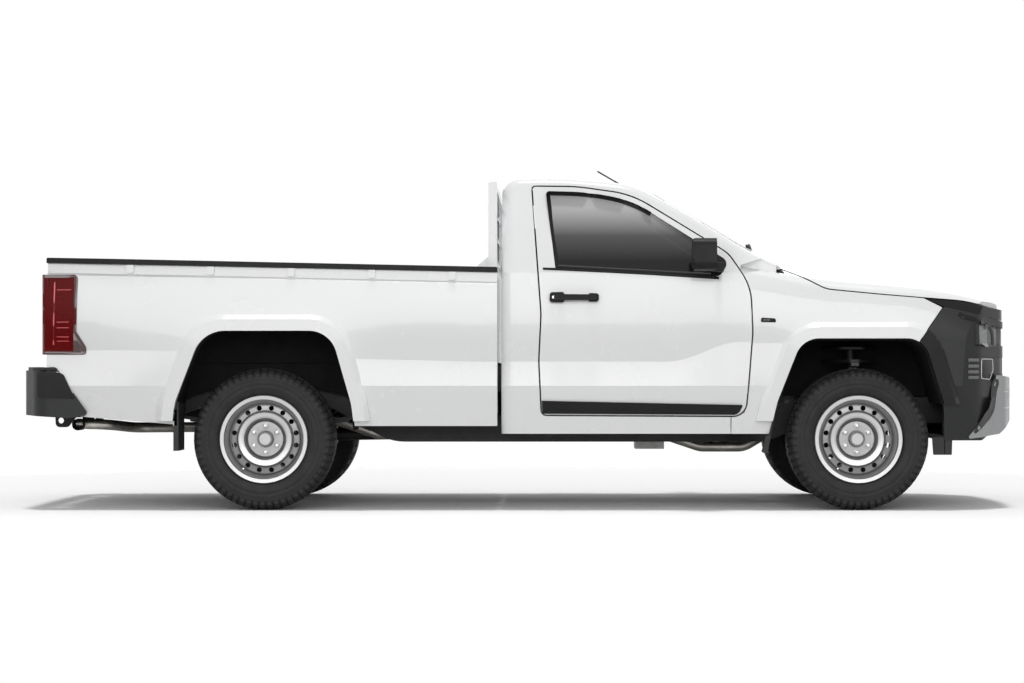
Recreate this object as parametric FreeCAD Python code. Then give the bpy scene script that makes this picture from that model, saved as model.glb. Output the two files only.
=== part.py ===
"""Single-cab pickup truck, built as the real one is: a ladder frame that carries a hollow cab,
a separate cargo bed, a leaf-sprung rear axle and steered front knuckles.

Units are millimetres. +X is forward, +Y is to the left when facing forward and +Z is up. The
origin is on the ground, midway between the bumpers. Positions are written from the front axle,
the rear axle or the cab's back, so a change of wheelbase or overhang carries all that belongs
to it.
"""
import FreeCAD
import Part
import math
import os

Vector = FreeCAD.Vector

# Overall layout
WHEELBASE = 3130.0
FRONT_OVERHANG = 890.0
REAR_OVERHANG = 1300.0
TRACK = 1570.0
CAB_BACK_TO_FRONT_AXLE = 1880.0
CAB_TO_BED_GAP = 22.0
BED_REAR_TO_AXLE = 1145.0

LENGTH = FRONT_OVERHANG + WHEELBASE + REAR_OVERHANG
FRONT_AXLE_X = LENGTH / 2 - FRONT_OVERHANG
REAR_AXLE_X = FRONT_AXLE_X - WHEELBASE
CAB_REAR_X = FRONT_AXLE_X - CAB_BACK_TO_FRONT_AXLE
BED_FRONT_X = CAB_REAR_X - CAB_TO_BED_GAP
BED_REAR_X = REAR_AXLE_X - BED_REAR_TO_AXLE
NOSE_X = FRONT_AXLE_X + FRONT_OVERHANG
TAIL_X = REAR_AXLE_X - REAR_OVERHANG

# Gaps: a part at rest sits SEAT_GAP off what carries it
SEAT_GAP = 0.3
PIN_CLEARANCE = 0.1
PANEL_GAP = 6.0
DOOR_GAP = 8.0

# Tyres and steel wheels
TYRE_RADIUS = 373.0
TYRE_WIDTH = 245.0
RIM_FLANGE_RADIUS = 233.0
RIM_SEAT_RADIUS = 216.0
RIM_WIDTH = 196.0
DISC_HOLES = 16
DISC_HOLE_RADIUS = 13.5
DISC_HOLE_CIRCLE = 166.0
WHEEL_STUDS = 6
STUD_CIRCLE_RADIUS = 69.85
HUB_CAP_RADIUS = 42.0
WHEEL_Y = TRACK / 2
AXLE_Z = TYRE_RADIUS
KINGPIN_INSET = 70.0
KINGPIN_Y = WHEEL_Y - KINGPIN_INSET

# Body panels
SKIN_LAP = 14.0
BODY_WALL = 60.0
FENDER_WALL = 28.0
HOOD_WALL = 24.0
BUMPER_WALL = 52.0
BUMPER_DEPTH = 75.0
LOWER_BAR_DEPTH = 40.0
GLASS_THICKNESS = 5.0
GLASS_RECESS = 10.0
MOULDING_THICKNESS = 9.0
SILL_Z = 402.0
SILL_Y = 862.0
SHOULDER_Y = 914.0
SHOULDER_Z = 655.0
CREASE_Z = 782.0
BELT_Z = 1250.0
BELT_Y = 878.0
FLOOR_Z = 520.0
CAB_FLOOR_THICKNESS = 26.0
FIREWALL_X = FRONT_AXLE_X - 556.0
CAB_FRONT_X = FRONT_AXLE_X - 425.0
COWL_SHELF_Z = 1262.0
TUNNEL_HALF_WIDTH = 140.0
TUNNEL_TOP_Z = 675.0
PANEL_THICKNESS = 12.0

# Door and hood hinges
DOOR_HINGE_X = FRONT_AXLE_X - 605.0
DOOR_HINGE_Y = 897.0
DOOR_HINGE_PIN_RADIUS = 4.5
DOOR_HINGE_HEIGHTS = (640.0, 1040.0)
HOOD_HINGE_X = FRONT_AXLE_X - 368.0
HOOD_HINGE_Y = 300.0
HOOD_HINGE_Z = 1286.0
HOOD_PIN_RADIUS = 6.0

# Cargo bed
BED_FLOOR_Z = 805.0
BED_FLOOR_THICKNESS = 28.0
BED_SIDE_BOTTOM_Z = 443.0
BED_INNER_Y = 775.0
BED_RAIL_REAR_Z = 1302.0
BED_RAIL_FRONT_Z = 1252.0
RAIL_CAP_HEIGHT = 28.0
WHEELHOUSE_Y = 540.0
WHEELHOUSE_TOP_Z = 990.0
WHEELHOUSE_HALF_LENGTH = 505.0
HOOKS_PER_SIDE = 5
HOOK_SPACING = 424.0
TAILGATE_BOTTOM_Z = 778.0
TAILGATE_THICKNESS = 60.0
TAILGATE_HINGE_X = BED_REAR_X + 18.0
TAILGATE_HINGE_Z = 794.0
TAILGATE_PIN_RADIUS = 8.0

# Chassis
FRAME_OUTER_Y = 500.0
FRAME_FRONT_OUTER_Y = 430.0
FRAME_RAIL_WIDTH = 70.0
FRAME_RAIL_HEIGHT = 140.0
FRAME_Z = 350.0
SPRING_Y = 560.0
SPRING_WIDTH = 60.0
SPRING_HALF_LENGTH = 620.0
LEAF_THICKNESS = 9.0
SPARE_Z = 566.0
TOW_EYE_X = REAR_AXLE_X - 1148.0
TOW_EYE_Y = 466.0
TOW_EYE_Z = 464.0
TOW_EYE_HOLE_RADIUS = 16.0
TOW_EYE_THICKNESS = 18.0
DAMPER_TUBE_RADIUS = 34.0
GEARBOX_SEAT_Z = 384.0
ENGINE_SEAT_Z = 462.0
SPRING_EYE_RADIUS = 22.0
SPRING_EYE_Z = AXLE_Z + 142.8
STRUT_TOP_Z = 850.0
UPPER_ARM_Z = 778.0
LOWER_ARM_Z = 306.0

# Controls
STEERING_Y = -400.0


def box(x0, x1, y0, y1, z0, z1):
    """A block between two corners."""
    return Part.makeBox(x1 - x0, y1 - y0, z1 - z0, Vector(x0, y0, z0))


def rod(start, end, radius):
    """A round bar from start to end."""
    along = end - start
    return Part.makeCylinder(radius, along.Length, start, along)


def mirrored(shape):
    """The same shape on the other side of the truck."""
    return shape.mirror(Vector(0, 0, 0), Vector(0, 1, 0))


def both_sides(*shapes):
    """Each shape and its mirror image, as a list."""
    return [s for shape in shapes for s in (shape, mirrored(shape))]


def grown(corners, amount):
    """An outline of (a, b, radius) corners with every edge moved outwards by amount."""
    count = len(corners)
    area = sum(corners[i - 1][0] * corners[i][1] - corners[i][0] * corners[i - 1][1] for i in range(count))
    turn = 1.0 if area > 0 else -1.0
    lines = []
    for i in range(count):
        a0, b0 = corners[i - 1][:2]
        a1, b1 = corners[i][:2]
        length = math.hypot(a1 - a0, b1 - b0)
        da, db = (a1 - a0) / length, (b1 - b0) / length
        lines.append((a0 + turn * db * amount, b0 - turn * da * amount, da, db))
    result = []
    for i in range(count):
        p, q, da, db = lines[i]
        r, s, ea, eb = lines[(i + 1) % count]
        cross = da * eb - db * ea
        radius = corners[i][2]
        if abs(cross) < 1e-4:
            result.append((r, s, radius))
            continue
        reach = ((r - p) * eb - (s - q) * ea) / cross
        swell = amount if cross * turn > 0 else -amount
        result.append((p + da * reach, q + db * reach, max(radius + swell, 0.0) if radius else 0.0))
    return result


def rounded_loop(corners, place):
    """A closed wire through (a, b, radius) corners, each rounded by an arc, put in space by place(a, b)."""
    edges = []
    ends = []
    count = len(corners)
    for i in range(count):
        a0, b0 = corners[i - 1][:2]
        a1, b1, radius = corners[i]
        a2, b2 = corners[(i + 1) % count][:2]
        back = Vector(a0 - a1, b0 - b1, 0)
        ahead = Vector(a2 - a1, b2 - b1, 0)
        turn = back.getAngle(ahead)
        reach = min(radius / math.tan(turn / 2), 0.49 * back.Length, 0.49 * ahead.Length) if radius else 0.0
        corner = Vector(a1, b1, 0)
        if reach < 0.05:
            ends.append((corner, corner))
            continue
        start = corner + back.normalize() * reach
        end = corner + ahead.normalize() * reach
        middle_way = (back + ahead).normalize()
        actual = reach * math.tan(turn / 2)
        middle = corner + middle_way * (actual / math.sin(turn / 2) - actual)
        edges.append(Part.Arc(place(start.x, start.y), place(middle.x, middle.y), place(end.x, end.y)).toShape())
        ends.append((start, end))
    for i in range(count):
        start, end = ends[i - 1][1], ends[i][0]
        if (end - start).Length > 1e-6:
            edges.append(Part.LineSegment(place(start.x, start.y), place(end.x, end.y)).toShape())
    return Part.Wire(Part.__sortEdges__(edges))


def side_prism(corners, y0, y1):
    """A solid with a side-view outline of (x, z, radius) corners, from y0 to y1."""
    face = Part.Face(rounded_loop(corners, lambda a, b: Vector(a, y0, b)))
    return face.extrude(Vector(0, y1 - y0, 0))


def plan_prism(corners, z0, z1):
    """A solid with a top-view outline of (x, y, radius) corners, from z0 to z1."""
    face = Part.Face(rounded_loop(corners, lambda a, b: Vector(a, b, z0)))
    return face.extrude(Vector(0, 0, z1 - z0))


def cross_prism(corners, x0, x1):
    """A solid with a front-view outline of (y, z, radius) corners, from x0 to x1."""
    face = Part.Face(rounded_loop(corners, lambda a, b: Vector(x0, a, b)))
    return face.extrude(Vector(x1 - x0, 0, 0))


def lathe(profile, base, way):
    """A solid of revolution from (radius, height) corners, standing on base and pointing along way."""
    points = [Vector(r, 0, h) for r, h in profile]
    solid = Part.Face(Part.makePolygon(points + points[:1])).revolve(Vector(0, 0, 0), Vector(0, 0, 1), 360)
    solid.Placement = FreeCAD.Placement(base, FreeCAD.Rotation(Vector(0, 0, 1), way))
    return solid


def pipe(points, radius, bend):
    """A round bar along straight runs joined by tangent bends."""
    pieces = []
    last = points[0]
    for before, corner, after in zip(points, points[1:], points[2:]):
        back = (before - corner).normalize()
        ahead = (after - corner).normalize()
        turn = back.getAngle(ahead)
        reach = bend / math.tan(turn / 2)
        start, end = corner + back * reach, corner + ahead * reach
        centre = corner + (back + ahead).normalize() * (bend / math.sin(turn / 2))
        ring = Part.Face(Part.Wire(Part.makeCircle(radius, start, back)))
        axis = (start - centre).cross(end - centre)
        pieces.append(rod(last, start, radius))
        pieces.append(ring.revolve(centre, axis, 180 - math.degrees(turn)))
        last = end
    pieces.append(rod(last, points[-1], radius))
    return pieces[0].fuse(pieces[1:])


def cut_all(shape, *tools):
    """The shape with every tool taken out of it."""
    for tool in tools:
        shape = shape.cut(tool)
    return shape


def layer(outer, inner, area):
    """The part of outer that lies in area and outside inner."""
    return outer.common(area).cut(inner)


def largest(shape):
    """The largest solid of a shape."""
    return max(shape.Solids, key=lambda s: s.Volume)


def bow(depth):
    """How far a rounded corner stands out so that its arc reaches full depth over its neighbours."""
    return 0.3245 * depth


def save(name, *shapes):
    """Writes one node's solids to its STEP file."""
    solids = [s for shape in shapes for s in shape.Solids if s.Volume > 50]
    Part.makeCompound(solids).exportStep(os.path.join("parts", name + ".step"))


# Body sections. Each is a closed loop across the truck: sill, shoulder, crease, belt, corner and crown.


def body_section(x, inset, sill, shoulder, crease, belt, corner, top_z, corner_radius):
    """One cross-section of the body from (y, z) points; inset moves all of it inwards."""
    points = [Vector(x, y - inset, z) for y, z in (shoulder, crease, belt)]
    low = Vector(x, sill[0] - inset, sill[1] + inset)
    crest = Vector(x, corner[0] - inset, corner[1] - inset)
    top = Vector(x, 0, top_z - inset)
    radius = max(corner_radius - inset / 2, 8.0)
    back = points[2] - crest
    ahead = top - crest
    turn = back.getAngle(ahead)
    reach = min(radius / math.tan(turn / 2), 0.9 * back.Length)
    radius = reach * math.tan(turn / 2)
    back.normalize()
    ahead.normalize()
    start, end = crest + back * reach, crest + ahead * reach
    bend = crest + (back + ahead).normalize() * (radius / math.sin(turn / 2) - radius)
    swell = 0.036 * (points[2] - points[1]).Length
    side_middle = (points[1] + points[2]) * 0.5 + Vector(0, swell, 0)
    upper_middle = (points[2] + start) * 0.5 + Vector(0, 0.018 * (start - points[2]).Length, 0)
    right = [
        Part.LineSegment(low, points[0]).toShape(),
        Part.LineSegment(points[0], points[1]).toShape(),
        Part.Arc(points[1], side_middle, points[2]).toShape(),
        Part.Arc(points[2], upper_middle, start).toShape(),
        Part.Arc(start, bend, end).toShape(),
    ]
    flip = FreeCAD.Matrix(1, 0, 0, 0, 0, -1, 0, 0, 0, 0, 1, 0, 0, 0, 0, 1)
    left = [edge.transformGeometry(flip) for edge in right]
    crown = Part.Arc(end, top, Vector(end.x, -end.y, end.z)).toShape()
    floor = Part.LineSegment(Vector(low.x, -low.y, low.z), low).toShape()
    return Part.Wire(Part.__sortEdges__(right + [crown] + left + [floor]))


# Cab stations: (distance from the cab's back, drop of the sides, corner y, corner z, top z, crease depth, crease z)
CAB_STATIONS = (
    (0, 46, 640, 1690, 1728, 22, 782),
    (14, 24, 652, 1722, 1764, 22, 782),
    (48, 6, 664, 1750, 1790, 22, 782),
    (110, 0, 670, 1760, 1801, 22, 782),
    (230, 0, 672, 1762, 1803, 22, 782),
    (380, 0, 671, 1758, 1797, 22, 782),
    (540, 0, 672, 1745, 1783, 22, 782),
    (680, 0, 680, 1722, 1760, 22, 782),
    (800, 0, 697, 1672, 1724, 22, 782),
    (920, 0, 727, 1605, 1658, 21, 786),
    (1060, 0, 762, 1520, 1578, 17, 830),
    (1200, 0, 796, 1432, 1496, 11, 880),
    (1330, 0, 824, 1352, 1420, 8, 880),
    (1460, 0, 850, 1284, 1350, 8, 880),
)


def cab_loft(inset):
    """The cab's outer form, or the same form moved inwards."""
    wires = []
    for u, drop, corner_y, corner_z, top_z, depth, crease_z in CAB_STATIONS:
        wires.append(
            body_section(
                CAB_REAR_X + u,
                inset,
                (SILL_Y - drop, SILL_Z),
                (SHOULDER_Y - drop, SHOULDER_Z),
                (SHOULDER_Y - depth - drop, crease_z),
                (BELT_Y - drop, BELT_Z),
                (corner_y, corner_z),
                top_z,
                60.0,
            )
        )
    return Part.makeLoft(wires, True, False)


# The nose: (distance ahead of the front axle, side y, belt y, corner y, corner z, top z, corner radius)
NOSE_STATIONS = (
    (-690, 914, 892, 842, 1290, 1366, 60),
    (-500, 914, 890, 846, 1262, 1346, 70),
    (-330, 914, 888, 852, 1232, 1319, 80),
    (-60, 914, 888, 858, 1200, 1294, 85),
    (230, 912, 886, 856, 1176, 1266, 85),
    (400, 905, 878, 846, 1156, 1247, 80),
    (560, 893, 862, 826, 1128, 1226, 75),
    (680, 878, 842, 800, 1098, 1196, 70),
    (770, 862, 822, 776, 1060, 1146, 60),
    (850, 846, 802, 756, 1010, 1090, 60),
    (910, 834, 788, 742, 960, 1036, 55),
)


def nose_section(station, inset, bottom_z, bottom_lean):
    """One cross-section of the nose form."""
    u, side_y, belt_y, corner_y, corner_z, top_z, radius = station
    return body_section(
        FRONT_AXLE_X + u,
        inset,
        (side_y - bottom_lean, bottom_z),
        (side_y, SHOULDER_Z),
        (side_y - 8, min(880, corner_z - 170)),
        (belt_y, corner_z - 110),
        (corner_y, corner_z),
        top_z,
        radius,
    )


def nose_loft(inset):
    """The form of the fenders and hood ahead of the doors."""
    return Part.makeLoft([nose_section(s, inset, SILL_Z - 60, 52) for s in NOSE_STATIONS], True, False)


def bumper_loft(inset):
    """The same form carried down to the bottom of the bumper."""
    return Part.makeLoft([nose_section(s, inset, 340, 60) for s in NOSE_STATIONS[2:]], True, False)


def front_plan(inset):
    """Everything behind the front face, which is bowed and swept back at the corners."""
    front = NOSE_X - 34 - inset
    return plan_prism(
        [
            (FRONT_AXLE_X - 800, -1000 + inset, 0),
            (FRONT_AXLE_X + 330, -1000 + inset, 0),
            (FRONT_AXLE_X + 640, -846 + inset, 160),
            (front - 52, -640 + inset, 160),
            (front + bow(52), 0, 9000),
            (front - 52, 640 - inset, 160),
            (FRONT_AXLE_X + 640, 846 - inset, 160),
            (FRONT_AXLE_X + 330, 1000 - inset, 0),
            (FRONT_AXLE_X - 800, 1000 - inset, 0),
        ],
        200,
        1600,
    )


# Side-view outlines, as (x, z, corner radius)

DOOR_OUTLINE = [
    (CAB_REAR_X + 215, 503, 25),
    (CAB_REAR_X + 201, 785, 500),
    (CAB_REAR_X + 213, 1030, 500),
    (CAB_REAR_X + 163, 1716, 14),
    (CAB_REAR_X + 400, 1714, 900),
    (CAB_REAR_X + 690, 1672, 500),
    (CAB_REAR_X + 1195, 1352, 160),
    (CAB_REAR_X + 1308, 1180, 300),
    (CAB_REAR_X + 1318, 930, 500),
    (CAB_REAR_X + 1282, 497, 70),
]

WINDOW_OUTLINE = [
    (CAB_REAR_X + 284, 1274, 8),
    (CAB_REAR_X + 234, 1690, 16),
    (CAB_REAR_X + 470, 1684, 900),
    (CAB_REAR_X + 700, 1636, 420),
    (CAB_REAR_X + 1200, 1310, 40),
    (CAB_REAR_X + 1150, 1226, 60),
]

DOOR_MOULDING = [
    (CAB_REAR_X + 216, 508, 6),
    (CAB_REAR_X + 213, 576, 4),
    (CAB_REAR_X + 1270, 554, 4),
    (CAB_REAR_X + 1246, 502, 40),
]

REAR_ARCH = [
    (REAR_AXLE_X - 488, 300, 0),
    (REAR_AXLE_X - 464, 560, 300),
    (REAR_AXLE_X - 316, 944, 170),
    (REAR_AXLE_X + 354, 944, 150),
    (REAR_AXLE_X + 464, 560, 300),
    (REAR_AXLE_X + 496, 300, 0),
]

FRONT_ARCH = [
    (FRONT_AXLE_X - 496, 300, 0),
    (FRONT_AXLE_X - 432, 570, 300),
    (FRONT_AXLE_X - 300, 904, 130),
    (FRONT_AXLE_X + 338, 904, 120),
    (FRONT_AXLE_X + 450, 540, 250),
    (FRONT_AXLE_X + 458, 300, 0),
]

# The seam between fender and bumper, from the lamp down to the wheel opening
FENDER_FRONT = [(FRONT_AXLE_X + 442, 1067), (FRONT_AXLE_X + 292, 860), (FRONT_AXLE_X + 262, 800)]

# The hood's lower edge seen from the side
HOOD_EDGE = [
    (FRONT_AXLE_X - 395, 1290, 30),
    (FRONT_AXLE_X - 168, 1168, 160),
    (FRONT_AXLE_X + 110, 1141, 900),
    (FRONT_AXLE_X + 340, 1122, 300),
    (FRONT_AXLE_X + 550, 1107, 500),
    (FRONT_AXLE_X + 690, 1079, 300),
    (FRONT_AXLE_X + 940, 1046, 0),
]

UPPER_STRIP = [
    (FRONT_AXLE_X + 352, 1115, 3),
    (FRONT_AXLE_X + 550, 1101, 500),
    (FRONT_AXLE_X + 690, 1073, 300),
    (FRONT_AXLE_X + 940, 1040, 0),
    (FRONT_AXLE_X + 940, 985, 0),
    (FRONT_AXLE_X + 690, 1021, 300),
    (FRONT_AXLE_X + 455, 1070, 4),
]

HEAD_LAMP = [
    (FRONT_AXLE_X + 645, 866, 6),
    (FRONT_AXLE_X + 640, 984, 16),
    (FRONT_AXLE_X + 770, 968, 60),
    (FRONT_AXLE_X + 940, 940, 0),
    (FRONT_AXLE_X + 940, 866, 0),
]

FOG_UNIT = [
    (FRONT_AXLE_X + 610, 682, 6),
    (FRONT_AXLE_X + 610, 811, 6),
    (FRONT_AXLE_X + 940, 800, 0),
    (FRONT_AXLE_X + 940, 718, 0),
    (FRONT_AXLE_X + 745, 718, 6),
    (FRONT_AXLE_X + 722, 680, 8),
]


GRILLE_OPENING = [
    (-500, 650, 30),
    (-466, 760, 30),
    (-462, 968, 40),
    (462, 968, 40),
    (466, 760, 30),
    (500, 650, 30),
]

LOWER_BAR = [
    (NOSE_X - 318, 372, 10),
    (NOSE_X - 185, 525, 60),
    (NOSE_X - 137, 712, 8),
    (NOSE_X - 44, 700, 16),
    (NOSE_X, 655, 20),
    (NOSE_X, 560, 60),
    (NOSE_X - 10, 492, 25),
    (NOSE_X - 120, 398, 20),
]


def flare(outline, lip_y, keep):
    """The raised band round a wheel opening, from the body's side out to the lip."""
    wires = []
    for amount, y in ((84, SHOULDER_Y - 48), (84, SHOULDER_Y - 8), (60, lip_y), (0, lip_y + 2)):
        wires.append(rounded_loop(grown(outline, amount), lambda a, b, y=y: Vector(a, -y, b)))
    return Part.makeLoft(wires, True, True).common(keep).cut(side_prism(outline, -1200, -500))


# Cab


def build_cab():
    """The cab shell, its glass and the two doors, cut from one form so that they line up."""
    outer = cab_loft(0)
    inner = cab_loft(BODY_WALL)
    ahead = box(CAB_FRONT_X, CAB_FRONT_X + 400, -1000, 1000, 0, 2000)
    cabin = cut_all(
        inner,
        box(FIREWALL_X, CAB_FRONT_X + 300, -1000, 1000, 0, COWL_SHELF_Z),
        box(CAB_REAR_X - 50, CAB_REAR_X + BODY_WALL, -1000, 1000, 0, 2000),
        box(CAB_REAR_X, CAB_FRONT_X, -1000, 1000, 0, FLOOR_Z),
        box(CAB_FRONT_X - 30, CAB_FRONT_X + 300, -1000, 1000, 0, 2000),
    )
    under = box(CAB_REAR_X - 10, CAB_FRONT_X + 300, -720, 720, 0, FLOOR_Z - CAB_FLOOR_THICKNESS)
    seam = [
        (FRONT_AXLE_X - 674, 380, 0),
        (FRONT_AXLE_X - 674, 494, 0),
        (FRONT_AXLE_X - 604, 523, 0),
        (FRONT_AXLE_X - 620, 1291, 0),
        (FRONT_AXLE_X - 300, 1394, 0),
        (FRONT_AXLE_X - 300, 380, 0),
    ]
    fender_room = side_prism(seam, -1000, -850).fuse(
        side_prism(seam, -1000, -790).common(box(0, 3000, -1000, 0, 1150, 2000))
    )
    engine_room = box(FIREWALL_X + 40, CAB_FRONT_X + 300, -1000, 1000, 0, COWL_SHELF_Z - 25)
    shell = cut_all(outer.cut(cabin), under, ahead, *both_sides(fender_room), engine_room)
    shell = cut_all(shell, *both_sides(side_prism(grown(DOOR_OUTLINE, DOOR_GAP), -1000, -560)))
    tunnel = tunnel_outline(0)
    shell = shell.fuse(side_prism(tunnel_outline(PANEL_THICKNESS), -TUNNEL_HALF_WIDTH - 12, TUNNEL_HALF_WIDTH + 12))
    shell = shell.cut(side_prism(tunnel, -TUNNEL_HALF_WIDTH, TUNNEL_HALF_WIDTH))
    screen_corners = [
        (CAB_REAR_X + 806, -590, 60),
        (CAB_REAR_X + 818, 0, 2000),
        (CAB_REAR_X + 806, 590, 60),
        (CAB_REAR_X + 1320, 766, 70),
        (CAB_REAR_X + 1416, 0, 1400),
        (CAB_REAR_X + 1320, -766, 70),
    ]
    back_corners = [(-600, 1300, 50), (-560, 1650, 60), (560, 1650, 60), (600, 1300, 50)]
    screen = plan_prism(screen_corners, COWL_SHELF_Z + 8, 1900)
    back_window = cross_prism(back_corners, CAB_REAR_X - 30, CAB_REAR_X + 90)
    shell = cut_all(shell, screen, back_window)
    shell = largest(shell).fuse(both_sides(*door_hinge_arms()) + both_sides(hood_hinge_arm()))
    windscreen = layer(outer, cab_loft(GLASS_THICKNESS), plan_prism(grown(screen_corners, -SEAT_GAP), COWL_SHELF_Z + 9, 1900))
    rear_glass = cross_prism(grown(back_corners, -SEAT_GAP), CAB_REAR_X + 8, CAB_REAR_X + 13)
    save("cab_shell", shell)
    save("cab_glass", windscreen, rear_glass)
    build_doors(outer, inner)
    return outer


def tunnel_outline(grow):
    """Side view of the gearbox tunnel."""
    return [
        (CAB_REAR_X + 640 - grow, 470, 0),
        (CAB_REAR_X + 640 - grow, 496 + grow, 16),
        (CAB_REAR_X + 800 - grow / 2, TUNNEL_TOP_Z + grow, 80),
        (FIREWALL_X + 42, TUNNEL_TOP_Z + grow, 0),
        (FIREWALL_X + 42, 470, 0),
    ]


def door_hinge_arms():
    """The fixed halves of a door's hinges: a pin, an arm inwards and a plate to the pillar."""
    arms = []
    for z in DOOR_HINGE_HEIGHTS:
        pin = rod(Vector(DOOR_HINGE_X, -DOOR_HINGE_Y, z - 25), Vector(DOOR_HINGE_X, -DOOR_HINGE_Y, z + 25), DOOR_HINGE_PIN_RADIUS)
        arm = box(DOOR_HINGE_X - 4, DOOR_HINGE_X + 4, -DOOR_HINGE_Y, -837, z - 25, z + 25)
        plate = box(DOOR_HINGE_X - 4, FIREWALL_X + 20, -845, -837, z - 25, z + 25)
        arms.append(pin.fuse([arm, plate]))
    return arms


def hood_hinge_arm():
    """The fixed half of a hood hinge: an arm from the cowl shelf and its pin."""
    arm = side_prism(
        [
            (CAB_FRONT_X - 20, COWL_SHELF_Z - 22, 0),
            (CAB_FRONT_X - 20, COWL_SHELF_Z, 0),
            (HOOD_HINGE_X - 6, HOOD_HINGE_Z + 6, 4),
            (HOOD_HINGE_X + 6, HOOD_HINGE_Z + 6, 6),
            (HOOD_HINGE_X + 6, HOOD_HINGE_Z - 8, 6),
            (CAB_FRONT_X + 8, COWL_SHELF_Z - 22, 4),
        ],
        -HOOD_HINGE_Y - 8,
        -HOOD_HINGE_Y + 8,
    )
    pin = rod(Vector(HOOD_HINGE_X, -HOOD_HINGE_Y - 28, HOOD_HINGE_Z), Vector(HOOD_HINGE_X, -HOOD_HINGE_Y, HOOD_HINGE_Z), HOOD_PIN_RADIUS)
    return arm.fuse(pin)


def build_doors(outer, inner):
    """A door is a skin that laps its opening and a narrower box behind it, with the window cut through."""
    lap = cab_loft(SKIN_LAP)
    proud = cab_loft(-MOULDING_THICKNESS)
    seat = cab_loft(-SEAT_GAP)
    skin = layer(outer, lap, side_prism(DOOR_OUTLINE, -1000, -560))
    core = layer(lap, inner, side_prism(grown(DOOR_OUTLINE, -20), -1000, -560))
    window = side_prism(WINDOW_OUTLINE, -1000, -500)
    door = skin.fuse(core).cut(window)
    pockets = []
    for z in DOOR_HINGE_HEIGHTS:
        pocket_y = -DOOR_HINGE_Y - DOOR_HINGE_PIN_RADIUS - SEAT_GAP
        pockets.append(box(DOOR_HINGE_X - 10, DOOR_HINGE_X + 80, pocket_y, -800, z - 32, z + 32))
    door = largest(cut_all(door, *pockets))
    corner_x = CAB_REAR_X + 1112
    pane_area = side_prism(grown(WINDOW_OUTLINE, -SEAT_GAP), -1000, -500)
    pane = layer(cab_loft(GLASS_RECESS), cab_loft(GLASS_RECESS + GLASS_THICKNESS), pane_area)
    pane = pane.cut(box(corner_x, corner_x + 300, -1000, 0, 1000, 1500))
    sail = layer(cab_loft(2), cab_loft(18), pane_area).common(box(corner_x + SEAT_GAP, corner_x + 300, -1000, 0, 1000, 1500))
    moulding = layer(proud, seat, side_prism(DOOR_MOULDING, -1000, -560))
    handle = build_handle().cut(seat)
    trim = [moulding, handle, build_mirror(sail)]
    for side, flip in (("right", False), ("left", True)):
        pieces = {"door": [door], "door_glass": [pane], "door_trim": trim}
        for name, shapes in pieces.items():
            save(name + "_" + side, *[mirrored(s) if flip else s for s in shapes])


def build_handle():
    """The pull handle: two feet on the door and a bar between them."""
    x0 = CAB_REAR_X + 253
    x1 = CAB_REAR_X + 513
    rear_foot = side_prism([(x0, 1094, 14), (x0 + 2, 1146, 14), (x0 + 78, 1148, 14), (x0 + 80, 1092, 14)], -924, -880)
    front_foot = side_prism([(x1 - 58, 1096, 14), (x1 - 58, 1142, 14), (x1, 1140, 14), (x1, 1098, 14)], -922, -880)
    bar = side_prism([(x0 + 24, 1104, 8), (x0 + 24, 1136, 8), (x1 - 8, 1134, 8), (x1 - 8, 1104, 8)], -946, -918)
    return rear_foot.fuse([front_foot, bar])


def build_mirror(sail):
    """The door mirror: a rounded housing on an arm that grows from the window's front corner."""
    x = CAB_REAR_X + 1058
    housing = cross_prism([(-1072, 1262, 40), (-1062, 1428, 46), (-938, 1420, 40), (-930, 1250, 36)], x - 52, x + 66)
    arm = cross_prism([(-1000, 1250, 6), (-1000, 1276, 6), (-874, 1290, 0), (-874, 1252, 0)], x + 64, x + 104)
    neck = cross_prism([(-1010, 1252, 6), (-1010, 1300, 6), (-950, 1300, 6), (-950, 1252, 6)], x + 50, x + 104)
    return housing.fuse([neck, arm, sail])


# Nose: fenders, hood, bumper and lamps


def build_nose():
    """Fenders, hood and the front end, cut from one form."""
    outer = nose_loft(0).common(front_plan(0))
    area = [
        (FRONT_AXLE_X - 668, SILL_Z, 0),
        (FRONT_AXLE_X - 668, 491, 0),
        (FRONT_AXLE_X - 600, 512, 0),
        (FRONT_AXLE_X - 617, 1286, 0),
        (FRONT_AXLE_X - 420, 1349, 0),
        (FRONT_AXLE_X - 401, 1290 - PANEL_GAP, 20),
        (FRONT_AXLE_X - 171, 1168 - PANEL_GAP, 160),
        (FRONT_AXLE_X + 110, 1141 - PANEL_GAP, 900),
        (FRONT_AXLE_X + 345, 1122 - PANEL_GAP, 0),
    ]
    area += [(x, z, 0) for x, z in FENDER_FRONT] + [(FRONT_AXLE_X + 255, SILL_Z, 0)]
    wheel = side_prism(FRONT_ARCH, -1200, -500)
    keep = side_prism(
        [(FRONT_AXLE_X - 600, 470, 0), (FRONT_AXLE_X - 560, 1100, 0)] + [(x, z, 0) for x, z in FENDER_FRONT] + [(FRONT_AXLE_X + 100, 470, 0)],
        -1000,
        -860,
    )
    inner = nose_loft(FENDER_WALL)
    fender = layer(outer, inner, side_prism(area, -1000, -600))
    fender = fender.fuse(flare(FRONT_ARCH, SHOULDER_Y + 16, keep).cut(inner))
    fender = cut_all(
        fender,
        wheel,
        side_prism(grown(DOOR_OUTLINE, DOOR_GAP), -1000, -560),
        box(FRONT_AXLE_X - 900, FRONT_AXLE_X - 380, -792, 0, 0, 2000),
        box(FRONT_AXLE_X - 900, FRONT_AXLE_X - 380, -852, 0, 0, 1150),
        box(FRONT_AXLE_X - 900, FRONT_AXLE_X, -1000, -500, 0, SILL_Z),
    )
    save("front_fenders", *both_sides(largest(fender)))
    build_hood(outer)
    build_front_end()


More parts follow.
